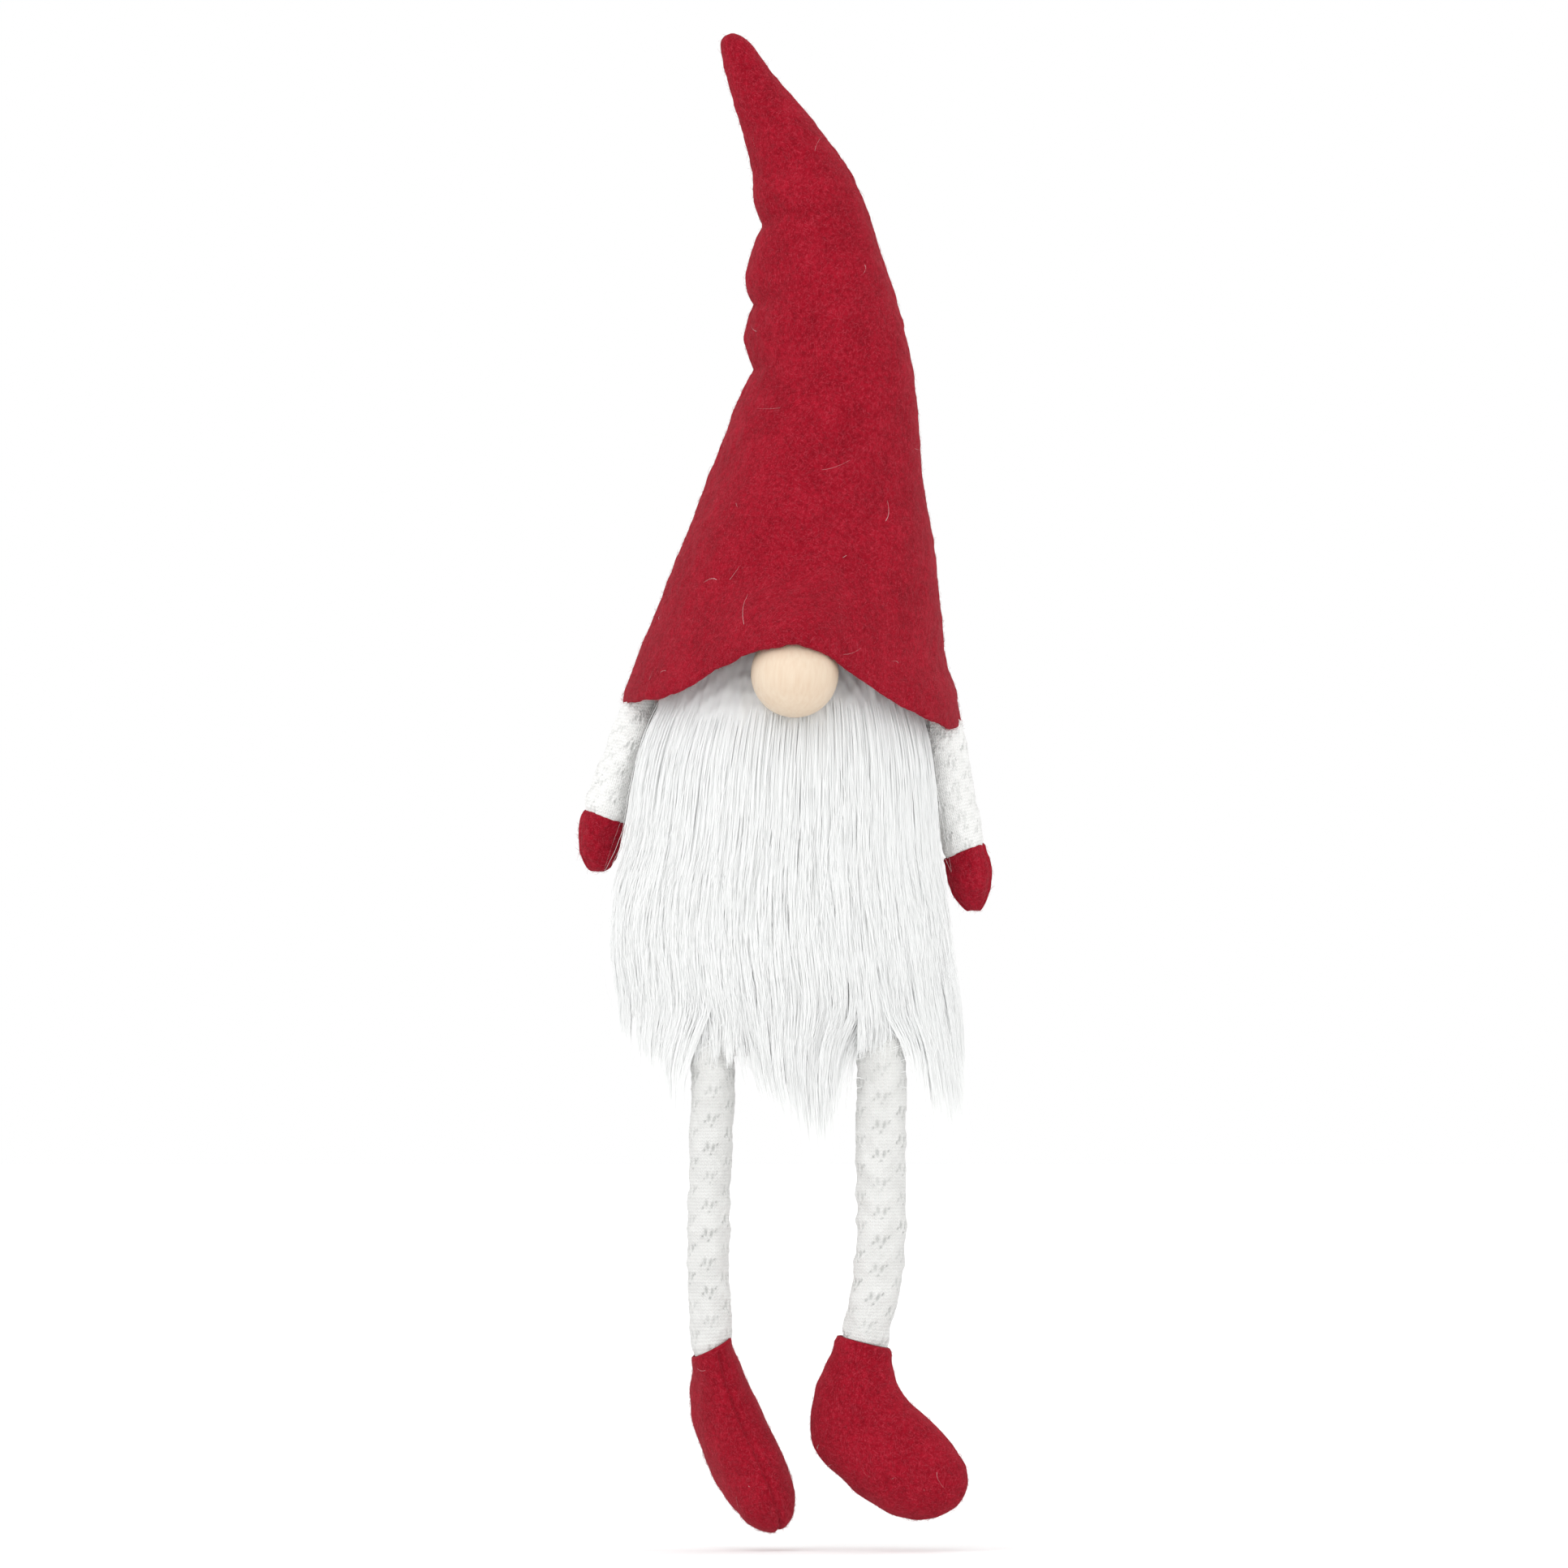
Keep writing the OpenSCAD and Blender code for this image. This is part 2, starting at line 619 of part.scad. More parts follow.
// Front of the body at the hips, half way up the round top of a leg
hip_level = level_at(body_levels, hip_z + leg_d[1] / 4);
hip_front = hip_level[4] * sqrt(1 - pow(min(hip_out) / hip_level[3], 2));
leg_y = -(hip_front + swing_gap + 0.87 * max(leg_d) / 2);

// Middle of leg s at the height z
function leg_x(s, z) =
    side[s] * hip_out[s] + ankle_step[s] * pow(min(max((hip_z - z) / (hip_z - ankle_z[s]), 0), 1), 5);
function leg_level(s, z, w = 1) = [z, leg_x(s, z), leg_y, w * leg_rx(s), w * leg_ry(s)];

// Slope of the back of both faces of a knee, which closes on a square bend
knee_slope = tan(46);
knee_room = knee_slope * max(leg_d) / 2 + 3;
function thigh_levels(s, short) =
    let (above_knee = knee_z + knee_room)
    concat([for (z = [knee_z + gap / 2 + short, above_knee + short, (above_knee + hip_z) / 2, hip_z])
        leg_level(s, z)],
    [for (o = dome) leg_level(s, hip_z + o[0] * leg_ry(s), o[1])]);
function shin_levels(s, short) =
    [for (z = [ankle_z[s] + ankle_gap(s) + short, (ankle_z[s] + knee_z - knee_room) / 2,
        knee_z - knee_room - short, knee_z - gap / 2 - short]) leg_level(s, z)];

module thigh(s) {
    levels = thigh_levels(s, 0);
    low = [0, knee_slope];
    color(knit_white)
        closed_tube(rings(levels, limb_n, 90, low),
            rings(inset(levels, cloth_t, cloth_t), limb_n, 90, low));
}

module thigh_stuffing(s) {
    levels = inset(thigh_levels(s, gap), cloth_t + gap, cloth_t + 2 * gap);
    color(wool_white) solid_loft(rings(levels, limb_n, 90, [0, knee_slope]));
}

module shin(s) {
    levels = shin_levels(s, 0);
    high = [0, -knee_slope];
    color(knit_white)
        open_tube(rings(levels, limb_n, 90, [0, 0], high),
            rings(inset(levels, cloth_t), limb_n, 90, [0, 0], high));
}

module shin_stuffing(s) {
    levels = inset(shin_levels(s, gap), cloth_t + gap);
    color(wool_white) solid_loft(rings(levels, limb_n, 90, [0, 0], [0, -knee_slope]));
}

module thigh_right() { thigh(right); }
module thigh_stuffing_right() { thigh_stuffing(right); }
module shin_right() { shin(right); }
module shin_stuffing_right() { shin_stuffing(right); }
module thigh_left() { thigh(left); }
module thigh_stuffing_left() { thigh_stuffing(left); }
module shin_left() { shin(left); }
module shin_stuffing_left() { shin_stuffing(left); }

// ---- Shoes -------------------------------------------------------------------------
// A shoe in its own frame: the ankle at the origin and the toe towards +X. Its outline
// gives shares of its height down, its length for the middle and half length, and its
// half width.
shoe_outline = [
    [0.155, -0.035, 0.215, 0.73], [0.29, -0.03, 0.285, 0.88], [0.45, 0.04, 0.38, 0.98],
    [0.6, 0.127, 0.436, 1], [0.74, 0.23, 0.42, 0.96], [0.86, 0.307, 0.335, 0.85],
    [0.95, 0.342, 0.233, 0.62], [1, 0.355, 0.045, 0.15]];
collar_x = 0.165 * shoe_l;
collar_y = 0.31 * shoe_w;
shoe_steps = 12;

// Most that a foot bends at the ankle, and the room that it needs over the shoe
foot_bend = 18;
function foot_tilt(s) = acos(cos(foot_droop[s]) * cos(foot_lean[s]));
function ankle_gap(s) = collar_x * tan((foot_bend + foot_tilt(s)) / 2) + gap;
function shoe_levels(s, short) = smooth(
    concat([[-ankle_gap(s) - short, 0, 0, collar_x, collar_y]],
        [for (o = shoe_outline) [-o[0] * shoe_h, o[1] * shoe_l, 0, o[2] * shoe_l, o[3] * shoe_w / 2]]),
    shoe_steps);

// Puts a shoe at the ankle of leg s
module at_ankle(s) {
    translate([leg_x(s, ankle_z[s]), leg_y, ankle_z[s]])
        rotate([0, -foot_lean[s], 0])
            rotate([0, 0, toe_turn[s] - 90])
                rotate([0, foot_droop[s], 0])
                    children();
}

module shoe_panel(s, from) {
    levels = shoe_levels(s, 0);
    inner = inset(levels, felt_t, felt_t);
    color(felt_red) at_ankle(s)
        panel(arcs(levels, from, from + 180, limb_n / 2), arcs(inner, from, from + 180, limb_n / 2), true);
}

module shoe_stuffing(s) {
    levels = inset(shoe_levels(s, gap), felt_t + gap, felt_t + 2 * gap);
    color(wool_white) at_ankle(s) solid_loft(rings(levels, limb_n));
}

module shoe_inner_right() { shoe_panel(right, 0); }
module shoe_outer_right() { shoe_panel(right, 180); }
module shoe_stuffing_right() { shoe_stuffing(right); }
module shoe_inner_left() { shoe_panel(left, 180); }
module shoe_outer_left() { shoe_panel(left, 0); }
module shoe_stuffing_left() { shoe_stuffing(left); }

body_front_panel();
body_back_panel();
seat_disc();
seat_card();
pellet_bag_top();
pellet_bag_bottom();
pellets();
body_stuffing();
beard_backing();
beard_pile();
beard_lock_right();
beard_lock_middle();
beard_lock_left();
nose_ball();
hat_front_panel();
hat_back_panel();
hat_stuffing();
hat_wire();
hat_fold_1_front_panel();
hat_fold_1_back_panel();
hat_fold_1_stuffing();
hat_fold_1_wire();
hat_fold_2_front_panel();
hat_fold_2_back_panel();
hat_fold_2_stuffing();
hat_fold_2_wire();
hat_tip_front_panel();
hat_tip_back_panel();
hat_tip_stuffing();
hat_tip_wire();
sleeve_right();
sleeve_stuffing_right();
mitten_front_right();
mitten_back_right();
mitten_stuffing_right();
sleeve_left();
sleeve_stuffing_left();
mitten_front_left();
mitten_back_left();
mitten_stuffing_left();
thigh_right();
thigh_stuffing_right();
shin_right();
shin_stuffing_right();
shoe_inner_right();
shoe_outer_right();
shoe_stuffing_right();
thigh_left();
thigh_stuffing_left();
shin_left();
shin_stuffing_left();
shoe_inner_left();
shoe_outer_left();
shoe_stuffing_left();
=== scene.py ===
"""Looks of the tomte gnome: a felt hat with soft creases, a wooden nose, a long fur beard,
a knit body, and arms and legs of lace knit that end in felt mittens and shoes.

Shapes are worked out in millimetres, in the CAD frame, and each mesh is built in metres.
Surfaces are grids of points: rows run up or along a piece, and columns run round it.
"""
import json
import math

import bpy
import numpy as np
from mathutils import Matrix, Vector


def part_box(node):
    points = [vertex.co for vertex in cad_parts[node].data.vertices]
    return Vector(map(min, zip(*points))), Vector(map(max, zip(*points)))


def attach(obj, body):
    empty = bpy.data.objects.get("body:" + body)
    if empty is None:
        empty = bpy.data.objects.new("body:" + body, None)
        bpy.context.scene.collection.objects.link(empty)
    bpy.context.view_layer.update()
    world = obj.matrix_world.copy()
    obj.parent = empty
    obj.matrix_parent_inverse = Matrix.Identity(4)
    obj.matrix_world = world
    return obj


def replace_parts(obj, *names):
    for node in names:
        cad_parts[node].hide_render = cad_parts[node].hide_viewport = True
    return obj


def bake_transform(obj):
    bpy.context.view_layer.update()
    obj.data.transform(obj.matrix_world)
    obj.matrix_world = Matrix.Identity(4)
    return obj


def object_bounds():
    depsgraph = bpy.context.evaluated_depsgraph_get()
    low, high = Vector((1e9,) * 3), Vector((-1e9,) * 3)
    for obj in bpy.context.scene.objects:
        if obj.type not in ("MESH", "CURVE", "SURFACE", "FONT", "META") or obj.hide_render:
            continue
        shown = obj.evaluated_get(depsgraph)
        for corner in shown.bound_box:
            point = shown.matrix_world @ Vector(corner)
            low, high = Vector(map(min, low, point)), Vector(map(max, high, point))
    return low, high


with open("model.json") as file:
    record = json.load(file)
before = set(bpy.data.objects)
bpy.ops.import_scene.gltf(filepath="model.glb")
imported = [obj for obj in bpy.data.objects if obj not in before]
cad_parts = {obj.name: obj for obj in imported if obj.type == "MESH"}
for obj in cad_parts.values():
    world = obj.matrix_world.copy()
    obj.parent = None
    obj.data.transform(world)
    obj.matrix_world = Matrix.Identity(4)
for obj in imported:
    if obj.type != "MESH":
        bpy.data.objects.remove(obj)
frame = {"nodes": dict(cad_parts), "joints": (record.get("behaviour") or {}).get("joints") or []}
cad_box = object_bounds()

MM = 0.001
RIGHT, LEFT = 0, 1
SIDE = [-1, 1]
SIDE_NAME = ["right", "left"]


# ---- Places taken from the frame ---------------------------------------------------
def corners(node):
    """Lowest and highest corner of a CAD node, in millimetres."""
    low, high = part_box(node)
    return np.array(low) / MM, np.array(high) / MM


def joint_anchor(name):
    """Point that a joint turns about, in millimetres."""
    joint = next(j for j in frame["joints"] if j["name"] == name)
    return np.array(joint["pos_m"]) / MM


# ---- Curves and noise --------------------------------------------------------------
def through(rows, at):
    """Smooth values at `at` through rows of (place, value, ...), never past a row's own value."""
    rows = np.array(rows, float)
    x, y = rows[:, 0], rows[:, 1:]
    run = np.diff(x)[:, None]
    rise = np.diff(y, axis=0) / run
    slope = np.zeros_like(y)
    both = rise[:-1] * rise[1:]
    mean = 2 * both / np.where(both > 0, rise[:-1] + rise[1:], 1)
    slope[1:-1] = np.where(both > 0, mean, 0)
    slope[0], slope[-1] = rise[0], rise[-1]
    at = np.clip(np.asarray(at, float), x[0], x[-1])
    k = np.clip(np.searchsorted(x, at, "right") - 1, 0, len(x) - 2)
    t = ((at - x[k]) / run[k, 0])[..., None]
    value = (
        y[k] * (1 + 2 * t) * (1 - t) ** 2 + y[k + 1] * t * t * (3 - 2 * t)
        + slope[k] * run[k] * t * (1 - t) ** 2 - slope[k + 1] * run[k] * t * t * (1 - t))
    return value[..., 0] if value.shape[-1] == 1 else np.moveaxis(value, -1, 0)


def ease(x, low, high):
    """0 below low and 1 above high, turning smoothly between them."""
    t = np.clip((x - low) / (high - low), 0, 1)
    return t * t * (3 - 2 * t)


def bump_at(x, place, width):
    """A smooth bump of 1 at a place, which fades over about a width."""
    return np.exp(-(((x - place) / width) ** 2))


def ripple(points, wavelength, seed, waves=20):
    """Seeded smooth noise of about -1 to 1, with features half a wavelength wide."""
    draw = np.random.default_rng(seed)
    way = draw.normal(size=(waves, 3))
    way *= 2 * np.pi / wavelength / np.linalg.norm(way, axis=1, keepdims=True)
    way *= draw.uniform(0.7, 1.4, (waves, 1))
    phase = draw.uniform(0, 2 * np.pi, waves)
    total = np.zeros(points.shape[:-1])
    for k in range(waves):
        total += np.sin(points @ way[k] + phase[k])
    return total / math.sqrt(waves)


# ---- Grids and meshes --------------------------------------------------------------
def unit(vectors):
    """Vectors scaled to length 1."""
    return vectors / np.maximum(np.linalg.norm(vectors, axis=-1, keepdims=True), 1e-9)


def turns(columns):
    """Angle of each column of a grid that closes round."""
    return 2 * np.pi * np.arange(columns) / columns


def level_rings(z, middle_x, middle_y, half_x, half_y, columns):
    """Grid of level ellipses, one row for each z."""
    angle = turns(columns)
    parts = np.broadcast_arrays(*[np.asarray(v, float) for v in (z, middle_x, middle_y, half_x, half_y)])
    z, mx, my, hx, hy = [p[:, None] for p in parts]
    return np.stack([mx + hx * np.cos(angle), my + hy * np.sin(angle), z + 0 * angle], axis=-1)


def grid_normals(grid):
    """Outward normals of a grid whose columns close round."""
    across = np.roll(grid, -1, axis=1) - np.roll(grid, 1, axis=1)
    along = np.gradient(grid, axis=0)
    return unit(np.cross(across, along))


def pushed(grid, depth):
    """The grid moved out along its own normals by depth, one value a point."""
    return grid + grid_normals(grid) * np.asarray(depth)[..., None]


def around_and_along(grid):
    """Distance round a grid from its first column, at its widest row, and distance along it."""
    step = np.linalg.norm(np.roll(grid, -1, axis=1) - grid, axis=-1).sum(1).max() / grid.shape[1]
    rise = np.linalg.norm(np.diff(grid, axis=0), axis=-1).mean(1)
    along = np.concatenate([[0], np.cumsum(rise)])
    u = np.broadcast_to(np.arange(grid.shape[1]) * step, grid.shape[:2])
    return u, np.broadcast_to(along[:, None], grid.shape[:2])


def in_scene(name, data):
    """New object of mesh, camera or light data, in the scene."""
    made = bpy.data.objects.new(name, data)
    bpy.context.scene.collection.objects.link(made)
    return made


def make_mesh(name, points, faces, material, normals=None, marks=None):
    """Smooth mesh object of millimetre points. faces is a list of arrays of equal-sided faces,
    and marks holds values for each point that materials read."""
    mesh = bpy.data.meshes.new(name)
    mesh.vertices.add(len(points))
    mesh.vertices.foreach_set("co", (points * MM).astype(np.float32).ravel())
    loops = np.concatenate([f.ravel() for f in faces])
    sizes = np.concatenate([np.full(len(f), f.shape[1]) for f in faces])
    mesh.loops.add(len(loops))
    mesh.loops.foreach_set("vertex_index", loops.astype(np.int32))
    mesh.polygons.add(len(sizes))
    mesh.polygons.foreach_set("loop_start", np.concatenate([[0], np.cumsum(sizes)[:-1]]).astype(np.int32))
    mesh.polygons.foreach_set("use_smooth", np.ones(len(sizes), bool))
    mesh.update(calc_edges=True)
    for mark, values in {"rest": points, **(marks or {})}.items():
        values = np.asarray(values, np.float32).reshape(len(points), -1)
        kind, field = ("FLOAT", "value") if values.shape[1] == 1 else ("FLOAT_VECTOR", "vector")
        mesh.attributes.new(mark, kind, "POINT").data.foreach_set(field, values.ravel())
    mesh.materials.append(material)
    if normals is not None:
        mesh.normals_split_custom_set_from_vertices(normals.reshape(-1, 3).tolist())
    piece = in_scene(name, mesh)
    return piece


def grid_piece(name, grid, material, normals=None, marks=None, foot=False, head=False):
    """Piece made of a grid whose columns close round. foot and head close its ends."""
    rows, columns = grid.shape[:2]
    index = np.arange(rows * columns).reshape(rows, columns)
    side = np.roll(index, -1, axis=1)
    quads = np.stack([index[:-1], side[:-1], side[1:], index[1:]], axis=-1).reshape(-1, 4)
    points, faces = grid.reshape(-1, 3), [quads]
    marks = {k: np.asarray(v).reshape(len(points), -1) for k, v in (marks or {}).items()}
    if normals is None:
        normals = grid_normals(grid)
    normals = normals.reshape(-1, 3)
    for closed, row, order in ((foot, 0, 1), (head, rows - 1, -1)):
        if closed:
            middle = len(points)
            points = np.vstack([points, grid[row].mean(0)])
            normals = np.vstack([normals, unit(normals[index[row]].sum(0))])
            marks = {k: np.vstack([v, v[index[row]].mean(0)]) for k, v in marks.items()}
            fan = np.stack([side[row], index[row], np.full(columns, middle)], axis=-1)
            faces.append(fan[:, ::order])
    return make_mesh(name, points, faces, material, normals, marks)


def bend(piece, bodies, anchor, first, last):
    """Bakes a piece's place into its mesh. The bodies, the anchor and the two distances are not used."""
    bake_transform(piece)


def ribbons(name, spines, width, facing, material, normals=None):
    """Piece of thin tapering ribbons, one hair each. spines is hairs x points x 3, width the
    width along a hair at each point, facing the way that each ribbon looks, and normals, where
    given, the way that it takes the light."""
    along = unit(np.gradient(spines, axis=1))
    across = unit(np.cross(along, facing)) * width[..., None] / 2
    points = np.stack([spines - across, spines + across], axis=2)
    hairs, steps = spines.shape[:2]
    index = np.arange(hairs * steps * 2).reshape(hairs, steps, 2)
    quads = np.stack([index[:, :-1, 0], index[:, :-1, 1], index[:, 1:, 1], index[:, 1:, 0]], axis=-1)
    shade = np.random.default_rng(len(spines)).random(hairs)
    marks = {
        "strand": np.broadcast_to(shade[:, None, None], (hairs, steps, 2)).reshape(-1, 1),
        "reach": np.broadcast_to(np.linspace(0, 1, steps)[None, :, None], (hairs, steps, 2)).reshape(-1, 1)}
    if normals is not None:
        normals = np.repeat(normals[:, :, None], 2, axis=2)
    return make_mesh(name, points.reshape(-1, 3), [quads.reshape(-1, 4)], material, normals, marks)


# ---- Materials ---------------------------------------------------------------------
def new_material(name):
    """New material and its empty node tree."""
    material = bpy.data.materials.new(name)
    material.use_nodes = True
    material.node_tree.nodes.clear()
    return material, material.node_tree


def add(tree, kind, inputs=None, **settings):
    """New shader node. An input is a value, or the output socket that feeds it."""
    node = tree.nodes.new("ShaderNode" + kind)
    for key, value in settings.items():
        setattr(node, key, value)
    for key, value in (inputs or {}).items():
        if isinstance(value, bpy.types.NodeSocket):
            tree.links.new(value, node.inputs[key])
        else:
            node.inputs[key].default_value = value
    return node


def mark(tree, name):
    """Attribute node that reads a mesh's own mark."""
    return add(tree, "Attribute", attribute_name=name)


def noise(tree, place, size, detail=2.0, roughness=0.5, stretch=(1, 1, 1), turn=(0, 0, 0)):
    """Noise whose features are about size millimetres, drawn out by stretch along turned axes."""
    spot = add(tree, "Mapping", {
        "Vector": place, "Rotation": turn, "Scale": [size * s for s in stretch]}, vector_type="TEXTURE")
    texture = add(tree, "TexNoise", {
        "Vector": spot.outputs["Vector"], "Scale": 1.0, "Detail": detail, "Roughness": roughness})
    return texture.outputs["Fac"]


def ramp(tree, value, *stops):
    """Colour or grey along (position, colour) stops."""
    node = add(tree, "ValToRGB", {"Fac": value})
    for element, (position, colour) in zip(node.color_ramp.elements, stops):
        element.position = position
        element.color = (*colour, 1)
    for position, colour in stops[2:]:
        node.color_ramp.elements.new(position).color = (*colour, 1)
    return node.outputs["Color"]


def grey(value):
    return (value,) * 3


def maths(tree, operation, a, b=0.0):
    return add(tree, "Math", {0: a, 1: b}, operation=operation).outputs[0]


def weighed(tree, *parts):
    """Sum of values, each times its own weight."""
    total = None
    for value, weight in parts:
        part = maths(tree, "MULTIPLY", value, weight)
        total = part if total is None else maths(tree, "ADD", total, part)
    return total


def mixed(tree, share, a, b, mode="MIX"):
    """Colour b over colour a by a share."""
    return add(tree, "MixRGB", {"Fac": share, "Color1": a, "Color2": b}, blend_type=mode).outputs["Color"]


def finish_surface(tree, colour, height, depth, **numbers):
    """Principled surface with a bump of a height texture, whose full range is depth millimetres."""
    bump = add(tree, "Bump", {"Height": height, "Strength": 1.0, "Distance": depth * MM})
    values = {key.replace("_", " "): value for key, value in numbers.items()}
    inputs = {"Base Color": colour, "Normal": bump.outputs["Normal"], **values}
    surface = add(tree, "BsdfPrincipled", inputs)
    out = add(tree, "OutputMaterial")
    tree.links.new(surface.outputs["BSDF"], out.inputs["Surface"])
    return surface, out


def felt_material():
    """Brushed crimson wool felt: soft blotches, small tufts with painted shade in the gaps between them, and
    fine crossing fibres.
    """
    material, tree = new_material("red_felt")
    place = mark(tree, "rest").outputs["Vector"]
    blotch = noise(tree, place, 11, 3.0)
    tuft = noise(tree, place, 1.5, 3.0, 0.6)
    fibres = [noise(tree, place, 0.3, 2.0, 0.6, (7, 1, 1), (0.3, turn, 0.4 * k))
              for k, turn in enumerate((0.5, -0.7, 1.5))]
    crossed = maths(tree, "MAXIMUM", maths(tree, "MAXIMUM", fibres[0], fibres[1]), fibres[2])
    # Darker where this is low: the blotches are the felt's own mottling, and the tuft part is painted shade
    # in the low gaps between tufts, which the bump also sinks.
    darker_tone = weighed(tree, (blotch, 0.35), (tuft, 0.65))
    base = ramp(tree, darker_tone, (0.34, (0.195, 0.001, 0.008)), (0.50, (0.262, 0.0022, 0.012)),
                (0.66, (0.345, 0.006, 0.020)))
    light = ramp(tree, crossed, (0.57, grey(0)), (0.72, grey(1)))
    colour = mixed(tree, maths(tree, "MULTIPLY", light, 0.50), base, (0.55, 0.055, 0.085, 1))
    height = weighed(tree, (crossed, 0.6), (tuft, 0.4))
    finish_surface(tree, colour, height, 0.55, Roughness=0.95, Specular_IOR_Level=0.12,
                   Sheen_Weight=0.07, Sheen_Roughness=0.45, Sheen_Tint=(1.0, 0.4, 0.45, 1))
    return material


def fuzz_material(name, dark, light):
    """Loose fibre, one shade to each hair."""
    material, tree = new_material(name)
    colour = ramp(tree, mark(tree, "strand").outputs["Fac"], (0.0, dark), (1.0, light))
    height = noise(tree, mark(tree, "rest").outputs["Vector"], 0.2)
    finish_surface(tree, colour, height, 0.02, Roughness=0.75, Specular_IOR_Level=0.2)
    return material


def knit_material(name, darker_tone, lighter_tone, eyelet):
    """White lace knit: rows of small V stitches in a soft yarn, with painted shade inside the eyelets."""
    material, tree = new_material(name)
    place = mark(tree, "rest").outputs["Vector"]
    weave = add(tree, "SeparateXYZ", {"Vector": mark(tree, "weave").outputs["Vector"]})
    wale = maths(tree, "MULTIPLY", weave.outputs["X"], 1 / STITCH_W)
    slant = maths(tree, "ABSOLUTE", maths(tree, "SUBTRACT", maths(tree, "FRACT", wale), 0.5))
    course = weighed(tree, (weave.outputs["Y"], 1 / STITCH_H), (slant, 1.1))
    loop = maths(tree, "SINE", maths(tree, "MULTIPLY", course, 2 * math.pi))
    gap = maths(tree, "SINE", maths(tree, "MULTIPLY", slant, 2 * math.pi))
    stitch = maths(tree, "MULTIPLY", maths(tree, "ADD", maths(tree, "MULTIPLY", loop, 0.5), 0.5), gap)
    yarn = noise(tree, place, 0.35, 3.0, 0.65)
    soft = noise(tree, place, 6, 2.0)
    hole = mark(tree, "hole").outputs["Fac"]
    cloth = ramp(tree, weighed(tree, (yarn, 0.5), (soft, 0.5)), (0.35, darker_tone), (0.65, lighter_tone))
    # The eyelet colour is painted shade: each hole is mixed towards it, as if the stuffing under the lace
    # lay in shadow.
    colour = mixed(tree, maths(tree, "MULTIPLY", hole, 0.9), cloth, (*eyelet, 1))
    height = weighed(tree, (stitch, 0.55), (yarn, 0.45))
    finish_surface(tree, colour, height, 0.32, Roughness=0.9, Specular_IOR_Level=0.15,
                   Sheen_Weight=0.08, Sheen_Roughness=0.5)
    return material


def fur_material(name, root, tip):
    """White fur fibre: darker and cooler towards its root, which is painted shade deep in the fur, lighter
    or darker from hair to hair, and a little see-through.
    """
    material, tree = new_material(name)
    strand = mark(tree, "strand").outputs["Fac"]
    reach = mark(tree, "reach").outputs["Fac"]
    streak = noise(tree, mark(tree, "rest").outputs["Vector"], 5, 2.0, 0.5, (1, 1, 6))
    # Painted shade: reach makes each hair darker and cooler towards its root, deep in the fur; strand and
    # streak are random tone.
    shade = weighed(tree, (reach, 0.45), (strand, 0.35), (streak, 0.3))
    colour = ramp(tree, shade, (0.1, root), (0.85, tip))
    surface, out = finish_surface(tree, colour, streak, 0.05, Roughness=0.55, Specular_IOR_Level=0.3)
    glow = add(tree, "BsdfTranslucent", {"Color": colour})
    both = add(tree, "MixShader", {0: 0.35, 1: surface.outputs["BSDF"], 2: glow.outputs["BSDF"]})
    tree.links.new(both.outputs["Shader"], out.inputs["Surface"])
    return material


def wood_material():
    """Pale sanded wood under a thin satin lacquer, with fine upright grain and short pores."""
    material, tree = new_material("nose_wood")
    place = mark(tree, "rest").outputs["Vector"]
    grain = noise(tree, place, 1.1, 3.0, 0.55, (1, 1, 9), (0.12, 0.08, 0))
    cloud = noise(tree, place, 9, 2.0)
    pore = noise(tree, place, 0.25, 1.0, 0.5, (1, 1, 5), (0.12, 0.08, 0))
    tone = weighed(tree, (grain, 0.6), (cloud, 0.4))
    base = ramp(tree, tone, (0.3, (0.66, 0.51, 0.375)), (0.7, (0.72, 0.60, 0.465)))
    pores = ramp(tree, pore, (0.24, grey(1)), (0.34, grey(0)))
    colour = mixed(tree, maths(tree, "MULTIPLY", pores, 0.25), base, (0.68, 0.50, 0.36, 1))
    finish_surface(tree, colour, grain, 0.06, Roughness=0.5, Specular_IOR_Level=0.35,
                   Coat_Weight=0.12, Coat_Roughness=0.3)
    return material


def hidden_material(name, dark, light, size, depth, **numbers):
    """Plain stock for a piece inside the figure: a mottled colour and a matching bump."""
    material, tree = new_material(name)
    place = add(tree, "TexCoord").outputs["Object"]
    spot = add(tree, "VectorMath", {0: place, 1: (1 / MM, 1 / MM, 1 / MM)}, operation="MULTIPLY")
    grain = noise(tree, spot.outputs["Vector"], size, 4.0, 0.6)
    colour = ramp(tree, grain, (0.35, dark), (0.65, light))
    finish_surface(tree, colour, grain, depth, **numbers)
    return material


# ---- Hat ---------------------------------------------------------------------------
HAT_COLUMNS = 288
HAT_ROW = 1.1
FELT_T = 2.0
HAT_LOW, HAT_HIGH = corners("hat_back_panel")
HAT_HALF = (HAT_HIGH[0] - HAT_LOW[0]) / 2
HAT_DEEP = HAT_HIGH[1] / HAT_HALF
HAT_TOP = corners("hat_tip_front_panel")[1][2]
# How far the brim tilts at each side, and how high it arches over the nose
BRIM_TILT = 4.5
BRIM_Z = HAT_LOW[2] + BRIM_TILT
BRIM_LIFT = 24.0
CREASES = [joint_anchor(f"hat_crease_{k}")[2] for k in (1, 2, 3)]

